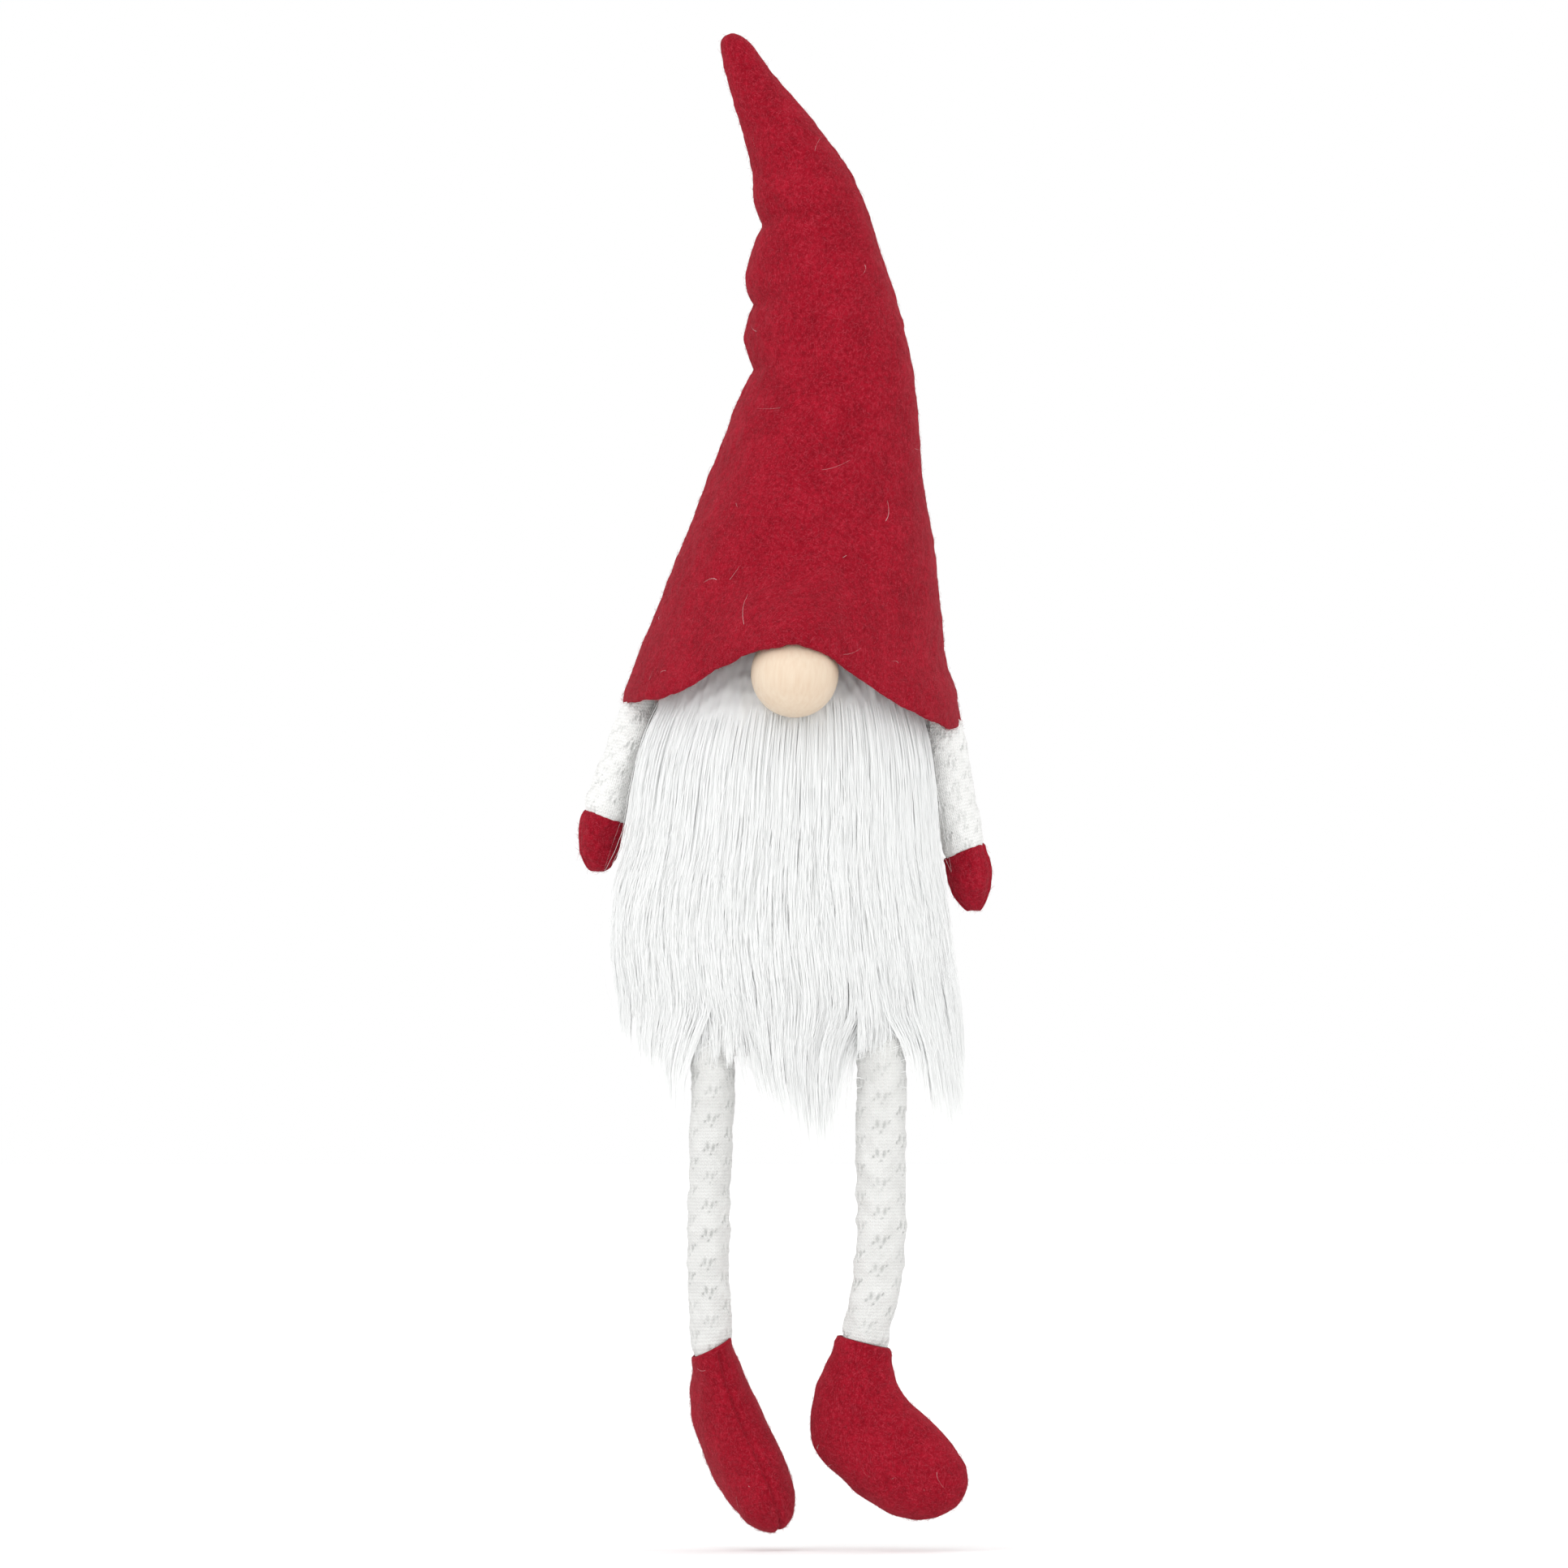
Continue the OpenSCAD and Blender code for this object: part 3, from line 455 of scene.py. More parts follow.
# Share of the height over the side brim, then middle and half width as shares of HAT_HALF
HAT_OUTLINE = [
    (-0.03, 0.000, 1.000), (0.023, -0.009, 0.985), (0.067, -0.007, 0.920), (0.14, 0.038, 0.837),
    (0.236, 0.079, 0.749), (0.332, 0.123, 0.646), (0.427, 0.178, 0.549), (0.505, 0.208, 0.478),
    (0.571, 0.190, 0.446), (0.643, 0.160, 0.407), (0.715, 0.130, 0.348), (0.786, 0.052, 0.290),
    (0.834, -0.031, 0.250), (0.882, -0.126, 0.207), (0.929, -0.230, 0.150), (0.966, -0.302, 0.112),
    (0.985, -0.334, 0.090), (0.996, -0.350, 0.050), (1.000, -0.352, 0.010)]
# Depth and width of the pinch at each crease
PINCH = [(3.0, 6.5), (2.6, 5.0), (2.4, 5.0)]
# Heights where one length of the hat gives way to the next
HAT_CUTS = [CREASES[0] + 11, CREASES[1] + 13]
INSIDE_ROWS = 9
HAT_FIBRES, BRIM_FIBRES, HAT_LINT = 15000, 1400, 44
LINT_WIDE = 0.09

NOSE_LOW, NOSE_HIGH = corners("nose_ball")
NOSE = (NOSE_LOW + NOSE_HIGH) / 2
NOSE_R = (NOSE_HIGH[2] - NOSE_LOW[2]) / 2
# How far the hat bulges over the nose, and the gap between the nose and the fur round it
NOSE_SWELL = 15.0
NOSE_ROOM = 0.4


def brim_edge(angle):
    """Height of the brim's cut edge: it tilts to the left and rises in an arch over the nose."""
    arch = np.maximum(0, -np.sin(angle)) ** 4.6
    return BRIM_Z - BRIM_TILT * np.cos(angle) + BRIM_LIFT * arch


def hat_surface(z, angle):
    """Points of the hat at heights z and angles round it."""
    share = (z - BRIM_Z) / (HAT_TOP - BRIM_Z)
    middle, half = through(HAT_OUTLINE, share) * HAT_HALF
    half = np.maximum(half, 0.3)
    x, y = half * np.cos(angle), half * HAT_DEEP * np.sin(angle)
    front = np.maximum(0, -np.sin(angle)) ** 0.5
    arch_z = BRIM_Z + BRIM_LIFT
    y = y - front * NOSE_SWELL * bump_at(z, arch_z - 1, 21) * bump_at(x, 0, 25)
    return np.stack([x + middle, y, z], axis=-1)


def hat_folds(grid, angle):
    """How far each point of the felt stands out: pinched creases, soft folds and seams."""
    x, _, z = np.moveaxis(grid, -1, 0)
    side = np.abs(angle % (2 * np.pi) - np.pi)
    to_crease = np.exp(-((side / 0.95) ** 2))
    depth = 0 * z
    for place, (deep, wide) in zip(CREASES, PINCH):
        line = place + 5 * (1 - to_crease) * np.sign(HAT_TOP - place)
        depth -= deep * np.exp(-np.abs(z - line) / wide) * to_crease
        depth -= 0.5 * bump_at(z, line, 3.0) * ease(to_crease, 0.02, 0.5)
        depth += 0.9 * bump_at(z, line + 9, 6) * to_crease
    lower = ease(z, BRIM_Z + 2, BRIM_Z + 45) * (1 - ease(z, HAT_TOP - 60, HAT_TOP - 8))
    drape = grid * np.array([1, 1, 0.42])
    depth += lower * (1.0 * ripple(drape, 46, 31) + 0.35 * ripple(drape, 20, 32))
    front = np.maximum(0, -np.sin(angle))
    depth -= 2.2 * front * bump_at(z, BRIM_Z + 46, 9) * bump_at(x, -2, 26)
    depth += 1.0 * front * bump_at(z, BRIM_Z + 62, 12) * bump_at(x, -14, 20)
    depth += 0.16 * ripple(grid, 7, 33) + 0.07 * ripple(grid, 2.6, 34)
    from_seam = np.minimum(side, np.pi - side) * HAT_HALF * (1 - ease(z, BRIM_Z, HAT_TOP) * 0.8)
    pucker = 0.5 + 0.5 * np.sin(z * 1.15 + 1.5 * np.sin(z * 0.31))
    depth -= (0.5 + 0.25 * pucker) * bump_at(from_seam, 0, 0.9)
    depth += 0.2 * bump_at(from_seam, 2.6, 1.4)
    return depth * ease(HAT_TOP - z, 0, 10)


def hat_grid():
    """Whole felt cone: up the hidden inside, down to the cut edge, and up the outside to the tip."""
    angle = turns(HAT_COLUMNS)
    edge = brim_edge(angle)
    wavy = edge + 0.35 * np.sin(angle * 9 + 1) + 0.25 * np.sin(angle * 23)
    level = np.arange(BRIM_Z, HAT_TOP - 8, HAT_ROW)
    cap = HAT_TOP - 8 * (1 - np.sin(np.linspace(0, np.pi / 2, 12))) ** 1.2
    level = np.concatenate([level, cap[1:]])
    fall = (1 - np.clip((level - BRIM_Z) / 105, 0, 1)) ** 2
    z = level[:, None] + fall[:, None] * (wavy - BRIM_Z)[None, :]
    turn = np.broadcast_to(angle, z.shape)
    outside = hat_surface(z, turn)
    outside = pushed(outside, hat_folds(outside, turn))
    normal = grid_normals(outside)
    lip = []
    for bend in np.linspace(np.pi, 0, 7)[:-1]:
        drop = np.array([0, 0, -FELT_T / 2 * math.sin(bend)])
        lip.append(outside[0] - normal[0] * FELT_T / 2 * (1 - math.cos(bend)) + drop)
    lining = [outside[k] - normal[k] * FELT_T for k in (24, 12, 4)]
    return np.concatenate([np.array(lining), np.array(lip), outside])


def hat_pieces(felt, fuzz, lint):
    """The hat in three overlapping lengths, each of which holds one crease."""
    grid = hat_grid()
    normals = grid_normals(grid)
    first = INSIDE_ROWS
    cuts = [first + np.argmax(grid[first:, 0, 2] > z) for z in HAT_CUTS]
    spans = [(0, cuts[0] + 1), (cuts[0], cuts[1] + 1), (cuts[1], len(grid))]
    names = ["hat_cone", "hat_folds", "hat_peak"]
    nodes = [("hat",), ("hat_fold_1",), ("hat_fold_2", "hat_tip")]
    for (low, high), name, stands in zip(spans, names, nodes):
        part = grid_piece(name, grid[low:high], felt, normals[low:high], head=high == len(grid))
        for stem in stands:
            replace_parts(part, *[f"{stem}_{end}" for end in ("front_panel", "back_panel", "stuffing")])
        hat_bend(part, name)
    skin, brim = slice(first + 1, -4), slice(5, first + 3)
    shed = felt_fuzz(grid[skin], normals[skin], HAT_FIBRES, 41)
    shed = np.concatenate([shed, felt_fuzz(grid[brim], normals[brim], BRIM_FIBRES, 42)])
    stray = felt_fuzz(grid[skin], normals[skin], HAT_LINT, 43, 11.0, 1.3)
    for kind, fibres, material, wide in (("fuzz", shed, fuzz, FIBRE_WIDE), ("lint", stray, lint, LINT_WIDE)):
        length = np.searchsorted(HAT_CUTS, fibres[:, 0, 2])
        for k, name in enumerate(names):
            hat_bend(fuzz_piece(f"{name}_{kind}", fibres[length == k], material, wide), name)


def hat_bend(piece, name):
    """Passes a length of the hat to bend, with the bodies on both sides of its crease; bend only bakes its
    place.
    """
    bodies, reach, k = {
        "hat_cone": (("torso", "hat_fold_1"), 10, 1),
        "hat_folds": (("hat_fold_1", "hat_fold_2"), 7, 2),
        "hat_peak": (("hat_fold_2", "hat_tip"), 9, 3)}[name]
    bend(piece, bodies, joint_anchor(f"hat_crease_{k}"), -reach, reach)


# ---- Felt fuzz ---------------------------------------------------------------------
FIBRE_POINTS = 5
FIBRE_WIDE = 0.075


def felt_fuzz(grid, normals, count, seed, longest=3.4, lift=0.55):
    """Short crossing fibres that lie on a felt grid and stand a little proud of it."""
    draw = np.random.default_rng(seed)
    rows, columns = grid.shape[:2]
    size = np.linalg.norm(np.roll(grid, -1, 1) - grid, axis=-1)
    share = np.cumsum(size[:-1].mean(1))
    row = np.searchsorted(share, draw.random(count) * share[-1]).clip(0, rows - 2)
    column = draw.integers(0, columns, count)
    root = grid[row, column] + (grid[row + 1, column] - grid[row, column]) * draw.random((count, 1))
    normal = normals[row, column]
    way = unit(np.cross(normal, draw.normal(size=(count, 3))))
    bend = np.cross(normal, way)
    length = 1.0 + (longest - 1.0) * draw.random(count) ** 2
    curl = draw.normal(0, 0.5, count)
    rise = lift * (0.25 + draw.random(count) ** 2)
    t = np.linspace(0, 1, FIBRE_POINTS)
    return (
        root[:, None] + way[:, None] * (length[:, None] * t)[..., None]
        + bend[:, None] * (length[:, None] * curl[:, None] * t ** 2)[..., None]
        + normal[:, None] * (0.05 + rise[:, None] * np.sin(2.4 * t))[..., None])


def fuzz_piece(name, spines, material, width=FIBRE_WIDE):
    """Piece of felt fibres."""
    draw = np.random.default_rng(len(spines))
    facing = unit(draw.normal(size=(len(spines), 1, 3)) + [0, -0.6, 0.2])
    facing = np.broadcast_to(facing, spines.shape)
    taper = np.broadcast_to(width * np.linspace(1, 0.3, FIBRE_POINTS), spines.shape[:2])
    return ribbons(name, spines, taper, facing, material)


# ---- Nose --------------------------------------------------------------------------
def nose_piece(wood):
    """Turned wooden ball, not quite true, with a small flat where it is glued."""
    rows, columns = 96, 160
    tilt = np.linspace(-np.pi / 2, np.pi / 2, rows + 2)[1:-1]
    angle = turns(columns)
    way = np.stack([
        np.cos(tilt)[:, None] * np.cos(angle), np.cos(tilt)[:, None] * np.sin(angle),
        np.sin(tilt)[:, None] + 0 * angle], axis=-1)
    radius = NOSE_R - 0.06 + 0.06 * ripple(way * NOSE_R, 22, 51) + 0.015 * ripple(way * NOSE_R, 3, 52)
    radius = np.minimum(radius, 0.93 * NOSE_R / np.maximum(way[..., 1], 0.5))
    nose = grid_piece("nose_bead", NOSE + way * radius[..., None], wood, foot=True, head=True)
    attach(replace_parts(nose, "nose_ball"), "torso")


# ---- Lace knit ---------------------------------------------------------------------
# Width and height of a stitch, and height of a lace motif
STITCH_W = 1.5
STITCH_H = 1.15
MOTIF_H = 9.8
# Each hole of a motif: middle across and up, half width and half height, lean in degrees
MOTIF = [
    (-1.1, 0.4, 0.66, 1.6, 5), (1.15, 0.0, 0.62, 1.5, -9), (-2.4, -0.9, 0.40, 0.55, -10),
    (2.5, 1.0, 0.38, 0.6, -20), (0.1, -2.3, 0.50, 0.45, 0)]


def lace(u, v, round_length, motifs):
    """(hole, relief) of the lace at the distances u round and v along: a hole is 1 in an
    eyelet, and relief is how far the cloth stands out, in millimetres."""
    cell = round_length / motifs
    column = np.floor(u / cell)
    across = (u / cell - column - 0.5) * cell * 8.0 / cell
    climb = v / MOTIF_H + 0.5 * (column % 2)
    up = (climb % 1 - 0.5) * MOTIF_H
    clear = 0.45 + 0.55 * (np.abs(np.sin(column * 12.9898 + np.floor(climb) * 78.233) * 437.585) % 1)
    hole, rim = 0 * u, 0 * u
    for x, y, wide, tall, lean in MOTIF:
        c, s = math.cos(math.radians(lean)), math.sin(math.radians(lean))
        dx, dy = across - x, up - y
        far = np.hypot((dx * c + dy * s) / wide, (dy * c - dx * s) / tall)
        hole = np.maximum(hole, (1 - ease(far, 0.35, 1.25)) * clear)
        rim = np.maximum(rim, bump_at(far, 1.5, 0.5) * clear)
    relief = 0.18 * rim - 0.50 * hole
    return hole, relief


def knit_cloth(grid, motifs, first_v=0.0, seed=1, open_work=0.0):
    """Lace knit over a grid: its relief, and the marks its material reads. Smaller eyelets
    between the motifs are as clear as open_work."""
    u, v = around_and_along(grid)
    length = u[0, 1] * grid.shape[1]
    hole, relief = lace(u, v + first_v, length, motifs)
    small, dent = lace(u * 1.9, v * 1.9 + 3.0, length * 1.9, round(motifs * 1.9))
    hole, relief = np.maximum(hole, open_work * small), relief + 0.6 * open_work * dent
    relief = relief + 0.25 * ripple(grid, 9, seed) + 0.10 * ripple(grid, 3.2, seed + 1)
    weave = np.stack([u, v + first_v, 0 * u], axis=-1)
    return relief, {"hole": hole, "weave": weave}


# ---- Body --------------------------------------------------------------------------
BODY_LOW, BODY_HIGH = corners("body_back_panel")
BODY_H = BODY_HIGH[2]
BODY_HALF = (BODY_HIGH[0] - BODY_LOW[0]) / 2
BODY_DEEP = BODY_HIGH[1]
# Share of the height, then half width and half depth as shares of the fullest
BODY_OUTLINE = [
    (0.0, 0.80, 0.74), (0.012, 0.87, 0.81), (0.05, 0.95, 0.92), (0.18, 1.0, 1.0), (0.35, 1.0, 1.0),
    (0.55, 0.94, 0.93), (0.70, 0.84, 0.78), (0.80, 0.76, 0.64), (0.90, 0.58, 0.50)]
# Share of the body's height where its knit ends, inside the hat
BODY_TOP = 0.88


def body_at(z):
    """Half width and half depth of the body at heights z."""
    wide, deep = through(BODY_OUTLINE, z / BODY_H)
    return wide * BODY_HALF, deep * BODY_DEEP


def body_piece(knit):
    """Knit bag of the body: side seams, and a gathered edge where the seat is sewn in."""
    columns, rows = 424, 232
    z = BODY_H * BODY_TOP * np.linspace(0, 1, rows) ** 1.02
    z[0] = 0.0
    wide, deep = body_at(z)
    grid = level_rings(z, 0, 0, wide, deep, columns)
    angle = turns(columns)
    relief, marks = knit_cloth(grid, 36, seed=61)
    side = np.minimum(np.abs(np.sin(angle)) * BODY_HALF, 40) + 0 * z[:, None]
    seam = -0.9 * bump_at(side, 0, 0.9) + 0.25 * bump_at(side, 2.4, 1.2)
    gathers = 0.5 * np.sin(angle * 58 + 2 * np.sin(angle * 5)) * bump_at(z, 2, 7)[:, None]
    sag = 0.8 * ripple(grid * [1, 1, 0.7], 48, 63) + 0.35 * ripple(grid, 20, 64)
    near_seat = ease(z, 0, 3)[:, None]
    grid = pushed(grid, (relief + seam + gathers + sag - 0.6) * near_seat)
    grid[..., 2] = np.maximum(grid[..., 2], 0)
    body = grid_piece("body_bag", grid, knit, marks=marks, head=True)
    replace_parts(body, "body_front_panel", "body_back_panel", "body_stuffing")
    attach(body, "torso")


def seat_piece(cloth):
    """Seat cloth: a flat oval with a turned edge, quilted a little by its stitching."""
    rows, columns = 60, 224
    share = np.linspace(1, 0.02, rows)
    half_x, half_y = corners("seat_disc")[1][:2] + 0.6
    angle = turns(columns)
    z = 0.12 + 1.5 * ease(share, 0.965, 1.0) + 0.12 * np.cos(share * 9)
    grid = np.stack([
        share[:, None] * half_x * np.cos(angle), share[:, None] * half_y * np.sin(angle),
        z[:, None] + 0 * angle], axis=-1)
    stitch = 0.10 * np.sin(angle * 74) * bump_at(share, 0.94, 0.02)[:, None]
    grid[..., 2] = np.maximum(grid[..., 2] + stitch + 0.05 * ripple(grid, 5, 66), 0.0)
    grid = grid[:, ::-1]
    marks = {"hole": np.zeros(grid.shape[:2]), "weave": grid}
    seat = grid_piece("seat_cloth", grid, cloth, marks=marks, head=True)
    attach(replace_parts(seat, "seat_disc"), "torso")


# ---- Arms --------------------------------------------------------------------------
ARM_COLUMNS = 128
ARM_R = 7.75
# Depth below the shoulder, sideways place and half thickness of each arm
ARM_COURSE = [
    [(-19, 44.5, 4.0), (-8.5, 51.6, 5.7), (3, 55.3, 7.2), (14.6, 59.4, 7.6), (26, 62.7, 8.0),
     (38, 65.6, 7.7), (50, 66.8, 7.0)],
    [(-19, 47.0, 5.6), (-8, 51.2, 7.6), (8.7, 53.5, 7.9), (21, 56.2, 7.8), (34, 59.2, 7.3),
     (45, 61.2, 7.1), (55, 62.3, 6.6)]]
# Depths of a sleeve's closed top, of each cuff at its -X and +X sides, and of each mitten's tip
ARM_TOP = -17.0
CUFF_DROP = [(28.0, 33.0), (35.7, 30.4)]
MITTEN_END = [49.4, 53.8]


def arm_course(s, depth):
    """Sideways place and half thickness of arm s at depths below its shoulder."""
    place, half = through(ARM_COURSE[s], depth)
    return SIDE[s] * place, half


def arm_grid(s, inner_depths, outer_depths, half_factor, shoulder):
    """Grid of arm s between two slanted ends, given by depths at its -X and +X sides."""
    angle = turns(ARM_COLUMNS)
    lean = (1 + np.cos(angle)) / 2
    depth = inner_depths[:, None] * (1 - lean) + outer_depths[:, None] * lean
    place, half = arm_course(s, depth)
    half = half * half_factor
    y = shoulder[1] + half * np.sin(angle)
    grid = np.stack([place + half * np.cos(angle), y, shoulder[2] - depth], axis=-1)
    return grid[:, ::-1]


def sleeve_piece(s, knit):
    """Knit sleeve of arm s, closed at the shoulder, with a slanted cuff."""
    shoulder = joint_anchor(f"shoulder_{SIDE_NAME[s]}")
    rows = 150
    t = np.linspace(0, 1, rows)
    left_end, right_end = CUFF_DROP[s]
    round_top = np.sqrt(np.clip(1 - (1 - np.clip(t / 0.08, 0, 1)) ** 2, 0.02, 1))[:, None]
    inner = ARM_TOP + t * (left_end + 1.2 - ARM_TOP)
    outer = ARM_TOP + t * (right_end + 1.2 - ARM_TOP)
    grid = arm_grid(s, inner, outer, round_top, shoulder)
    relief, marks = knit_cloth(grid, 7, 2.0 + 3 * s, seed=70 + s, open_work=0.8)
    cuff = ease(t, 0.93, 1.0)[:, None]
    tuck = ease(t, 0.0, 0.12)[:, None]
    grid = pushed(grid, relief * tuck * (1 - 0.6 * cuff) - 0.9 * cuff)
    sleeve = grid_piece(f"sleeve_knit_{SIDE_NAME[s]}", grid, knit, marks=marks, foot=True)
    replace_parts(sleeve, f"sleeve_{SIDE_NAME[s]}", f"sleeve_stuffing_{SIDE_NAME[s]}")
    bend(sleeve, ("torso", f"arm_{SIDE_NAME[s]}"), shoulder, 7, -6)


def mitten_piece(s, felt, fuzz):
    """Felt mitten of arm s: a rounded tip, and an edge seam down both sides."""
    shoulder = joint_anchor(f"shoulder_{SIDE_NAME[s]}")
    rows = 90
    t = np.sin(np.linspace(0, np.pi / 2, rows))
    left_end, right_end = CUFF_DROP[s]
    inner = left_end + t * (MITTEN_END[s] - left_end)
    outer = right_end + t * (MITTEN_END[s] - right_end)
    round_tip = np.maximum(1 - np.clip((t - 0.25) / 0.75, 0, 1) ** 2.3, 0.0) ** 0.5 + 0.004
    grid = arm_grid(s, inner, outer, round_tip[:, None], shoulder)
    angle = turns(ARM_COLUMNS)[::-1]
    across = np.abs(np.sin(angle)) * ARM_R * np.ones_like(t)[:, None]
    seam = 0.5 * bump_at(across, 0, 0.8) - 0.35 * bump_at(across, 1.7, 0.7)
    lip = -0.5 * bump_at(t, 0, 0.02)[:, None]
    fade = ease(1 - t, 0.0, 0.03)[:, None]
    depth = seam + lip + 0.35 * ripple(grid, 12, 75 + s) + 0.12 * ripple(grid, 4, 77 + s)
    grid = pushed(grid, depth * fade - 0.1)
    inside = grid[:1] + (grid[:1].mean(1, keepdims=True) - grid[:1]) * 0.24 - [0, 0, 0.8]
    grid = np.concatenate([inside, grid])
    name = SIDE_NAME[s]
    mitten = grid_piece(f"mitten_{name}", grid, felt, head=True)
    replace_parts(mitten, *[f"mitten_{part}_{name}" for part in ("front", "back", "stuffing")])
    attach(mitten, f"arm_{name}")
    hairs = felt_fuzz(grid[2:-3], grid_normals(grid)[2:-3], 900, 80 + s, 2.8, 0.45)
    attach(fuzz_piece(f"mitten_fuzz_{name}", hairs, fuzz), f"arm_{name}")


# ---- Legs --------------------------------------------------------------------------
LEG_COLUMNS = 128
LEG_STEP = 0.4
# Half width and half depth of each leg
LEG_HALF = [(7.25, 8.5), (8.5, 7.25)]
# Height, then the sideways place of each leg and a share of its thickness
LEG_COURSE = [
    [(-108, -26.6, 0.96), (-101, -26.9, 0.98), (-94, -27.5, 0.99), (-83, -28.0, 1.01), (-72, -28.8, 0.97),
     (-56, -28.4, 1.02), (-40, -28.0, 0.98), (-28, -27.8, 1.03), (-11, -26.9, 1.04), (3, -27.6, 1.02),
     (12, -28.0, 1.0)],
    [(-102, 24.4, 0.95), (-94, 25.0, 0.96), (-89, 26.4, 0.98), (-83, 27.8, 1.00), (-78, 28.7, 1.0),
     (-67, 30.0, 1.01), (-56, 30.5, 1.00), (-28, 30.1, 1.02), (-11, 30.5, 1.01), (3, 30.2, 1.0),
     (12, 30.0, 1.0)]]
# Height where the knit meets the shoe, at the leg's -X and +X sides
SHOE_TOP = [(-103.0, -98.5), (-96.5, -101.0)]
# How much lower the knit ends in front than at the sides, and how much it draws in there
FRONT_DIP = [1.2, 0.5]
ANKLE_TUCK = [1.0, 0.8]
# How far over and under its joint each length of a leg reaches, passed to bend, which does not use it
KNEE_REACH = (14.0, 14.0)
ANKLE_REACH = (9.0, 4.0)


def leg_grid(s, hip, ankle):
    """Grid of knit leg s, from inside the shoe up to its rounded top at the hip."""
    angle = turns(LEG_COLUMNS)
    foot = SHOE_TOP[s][0] + (SHOE_TOP[s][1] - SHOE_TOP[s][0]) * (1 + np.cos(angle)) / 2 - 1.8
    foot -= FRONT_DIP[s] * np.maximum(-np.sin(angle), 0)
    top = hip[2] + LEG_HALF[s][1]
    level = np.arange(ankle[2], top, LEG_STEP)
    fall = (1 - np.clip((level - ankle[2]) / 16, 0, 1)) ** 2
    z = level[:, None] + fall[:, None] * (foot - ankle[2])
    place, share = through(LEG_COURSE[s], z)
    dome = np.sqrt(np.clip(1 - np.clip((z - hip[2]) / (top - hip[2]), 0, 1) ** 2, 0.01, 1))
    x = place + LEG_HALF[s][0] * share * dome * np.cos(angle)
    y = hip[1] + LEG_HALF[s][1] * share * dome * np.sin(angle)
    return np.stack([x, y, z], axis=-1)


def leg_pieces(s, knit):
    """Knit leg s in three lengths, about the ankle, the knee and the hip."""
    name = SIDE_NAME[s]
    hip, knee, ankle = (joint_anchor(f"{j}_{name}") for j in ("hip", "knee", "ankle"))
    grid = leg_grid(s, hip, ankle)
    relief, marks = knit_cloth(grid, 6, 1.5 + 4 * s, seed=90 + s)
    z = grid[..., 2]
    wrinkle = 0.3 * np.sin(z * 0.62 + 1.3 * np.sin(grid[..., 0] * 0.5)) * bump_at(z, knee[2], 16)
    tight = -ANKLE_TUCK[s] * (1 - ease(z - z[0], 0, 6.5))
    grid = pushed(grid, relief * ease(z - z[0], 0.5, 4) + wrinkle + tight - 0.15)
    normals = grid_normals(grid)
    middles = [(knee[2] + ankle[2]) / 2, (hip[2] + knee[2]) / 2]
    cuts = [int(np.argmax(grid[:, 0, 2] > z)) for z in middles]
    spans = [(0, cuts[0] + 1), (cuts[0], cuts[1] + 1), (cuts[1], len(grid))]
    lengths = [
        ("leg_ankle", (f"shin_{name}", f"foot_{name}"), ankle, ANKLE_REACH, [f"shin_stuffing_{name}"]),
        ("leg_knee", (f"thigh_{name}", f"shin_{name}"), knee, KNEE_REACH, [f"shin_{name}"]),
        ("leg_hip", (f"thigh_{name}",), hip, (), [f"thigh_{name}", f"thigh_stuffing_{name}"])]
    for (low, high), (stem, bodies, anchor, reach, stands) in zip(spans, lengths):
        part = grid_piece(f"{stem}_{name}", grid[low:high], knit, normals[low:high],
                          {k: m[low:high] for k, m in marks.items()}, head=high == len(grid))
        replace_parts(part, *stands)
        if reach:
            bend(part, bodies, anchor, reach[0], -reach[1])
        else:
            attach(part, *bodies)


# ---- Shoes -------------------------------------------------------------------------
SHOE_COLUMNS = 160
SHOE_ROWS = 190
SHOE_FIBRES, SHOE_LINT = 3800, 12
# How each foot is turned out, drooped and leant, in degrees
TOE_TURN = [14.0, 80.0]
FOOT_DROOP = [32.0, 0.0]
FOOT_LEAN = [21.0, 0.0]
# Width of each shoe, as a share of the outline's
SHOE_SLIM = [0.90, 0.95]
# Depth below the ankle, then the heel and toe ends and the half width of the shoe there
SHOE_OUTLINE = [
    (-2.0, -9.1, 9.1, 8.3), (5.0, -11.0, 9.3, 8.9), (9.0, -13.6, 10.0, 9.5), (14.7, -16.2, 12.2, 10.6),
    (20.3, -17.8, 16.6, 11.5), (25.9, -18.6, 22.9, 12.3), (31.4, -18.1, 28.3, 12.8),
    (37.0, -15.9, 32.6, 13.0), (42.5, -11.4, 35.5, 12.9), (46.7, -6.8, 36.1, 12.3),
    (50.9, -2.5, 35.2, 10.9), (54.7, 4.0, 32.4, 8.8), (57.3, 10.2, 28.6, 6.2), (59.1, 15.4, 24.0, 3.0),
    (60.0, 19.6, 19.8, 0.1)]
# How long each shoe is from collar to sole, as a share of the outline
SHOE_LENGTH = [0.968, 1.0]
# Rise of each collar towards the toe and towards the foot's own +Y, then all round
COLLAR_RISE = [(0.46, 0.14, 3.0), (-0.25, 0.0, -0.5)]
# How far each collar draws back to the leg as it rises
COLLAR_PULL = [0.3, 0.0]
# Share of the shoe, from its top, that takes part in the collar's rise
COLLAR_SHARE = 0.22


def about_y(degrees):
    c, s = math.cos(math.radians(degrees)), math.sin(math.radians(degrees))
    return np.array([[c, 0, s], [0, 1, 0], [-s, 0, c]])


def about_z(degrees):
    c, s = math.cos(math.radians(degrees)), math.sin(math.radians(degrees))
    return np.array([[c, -s, 0], [s, c, 0], [0, 0, 1]])


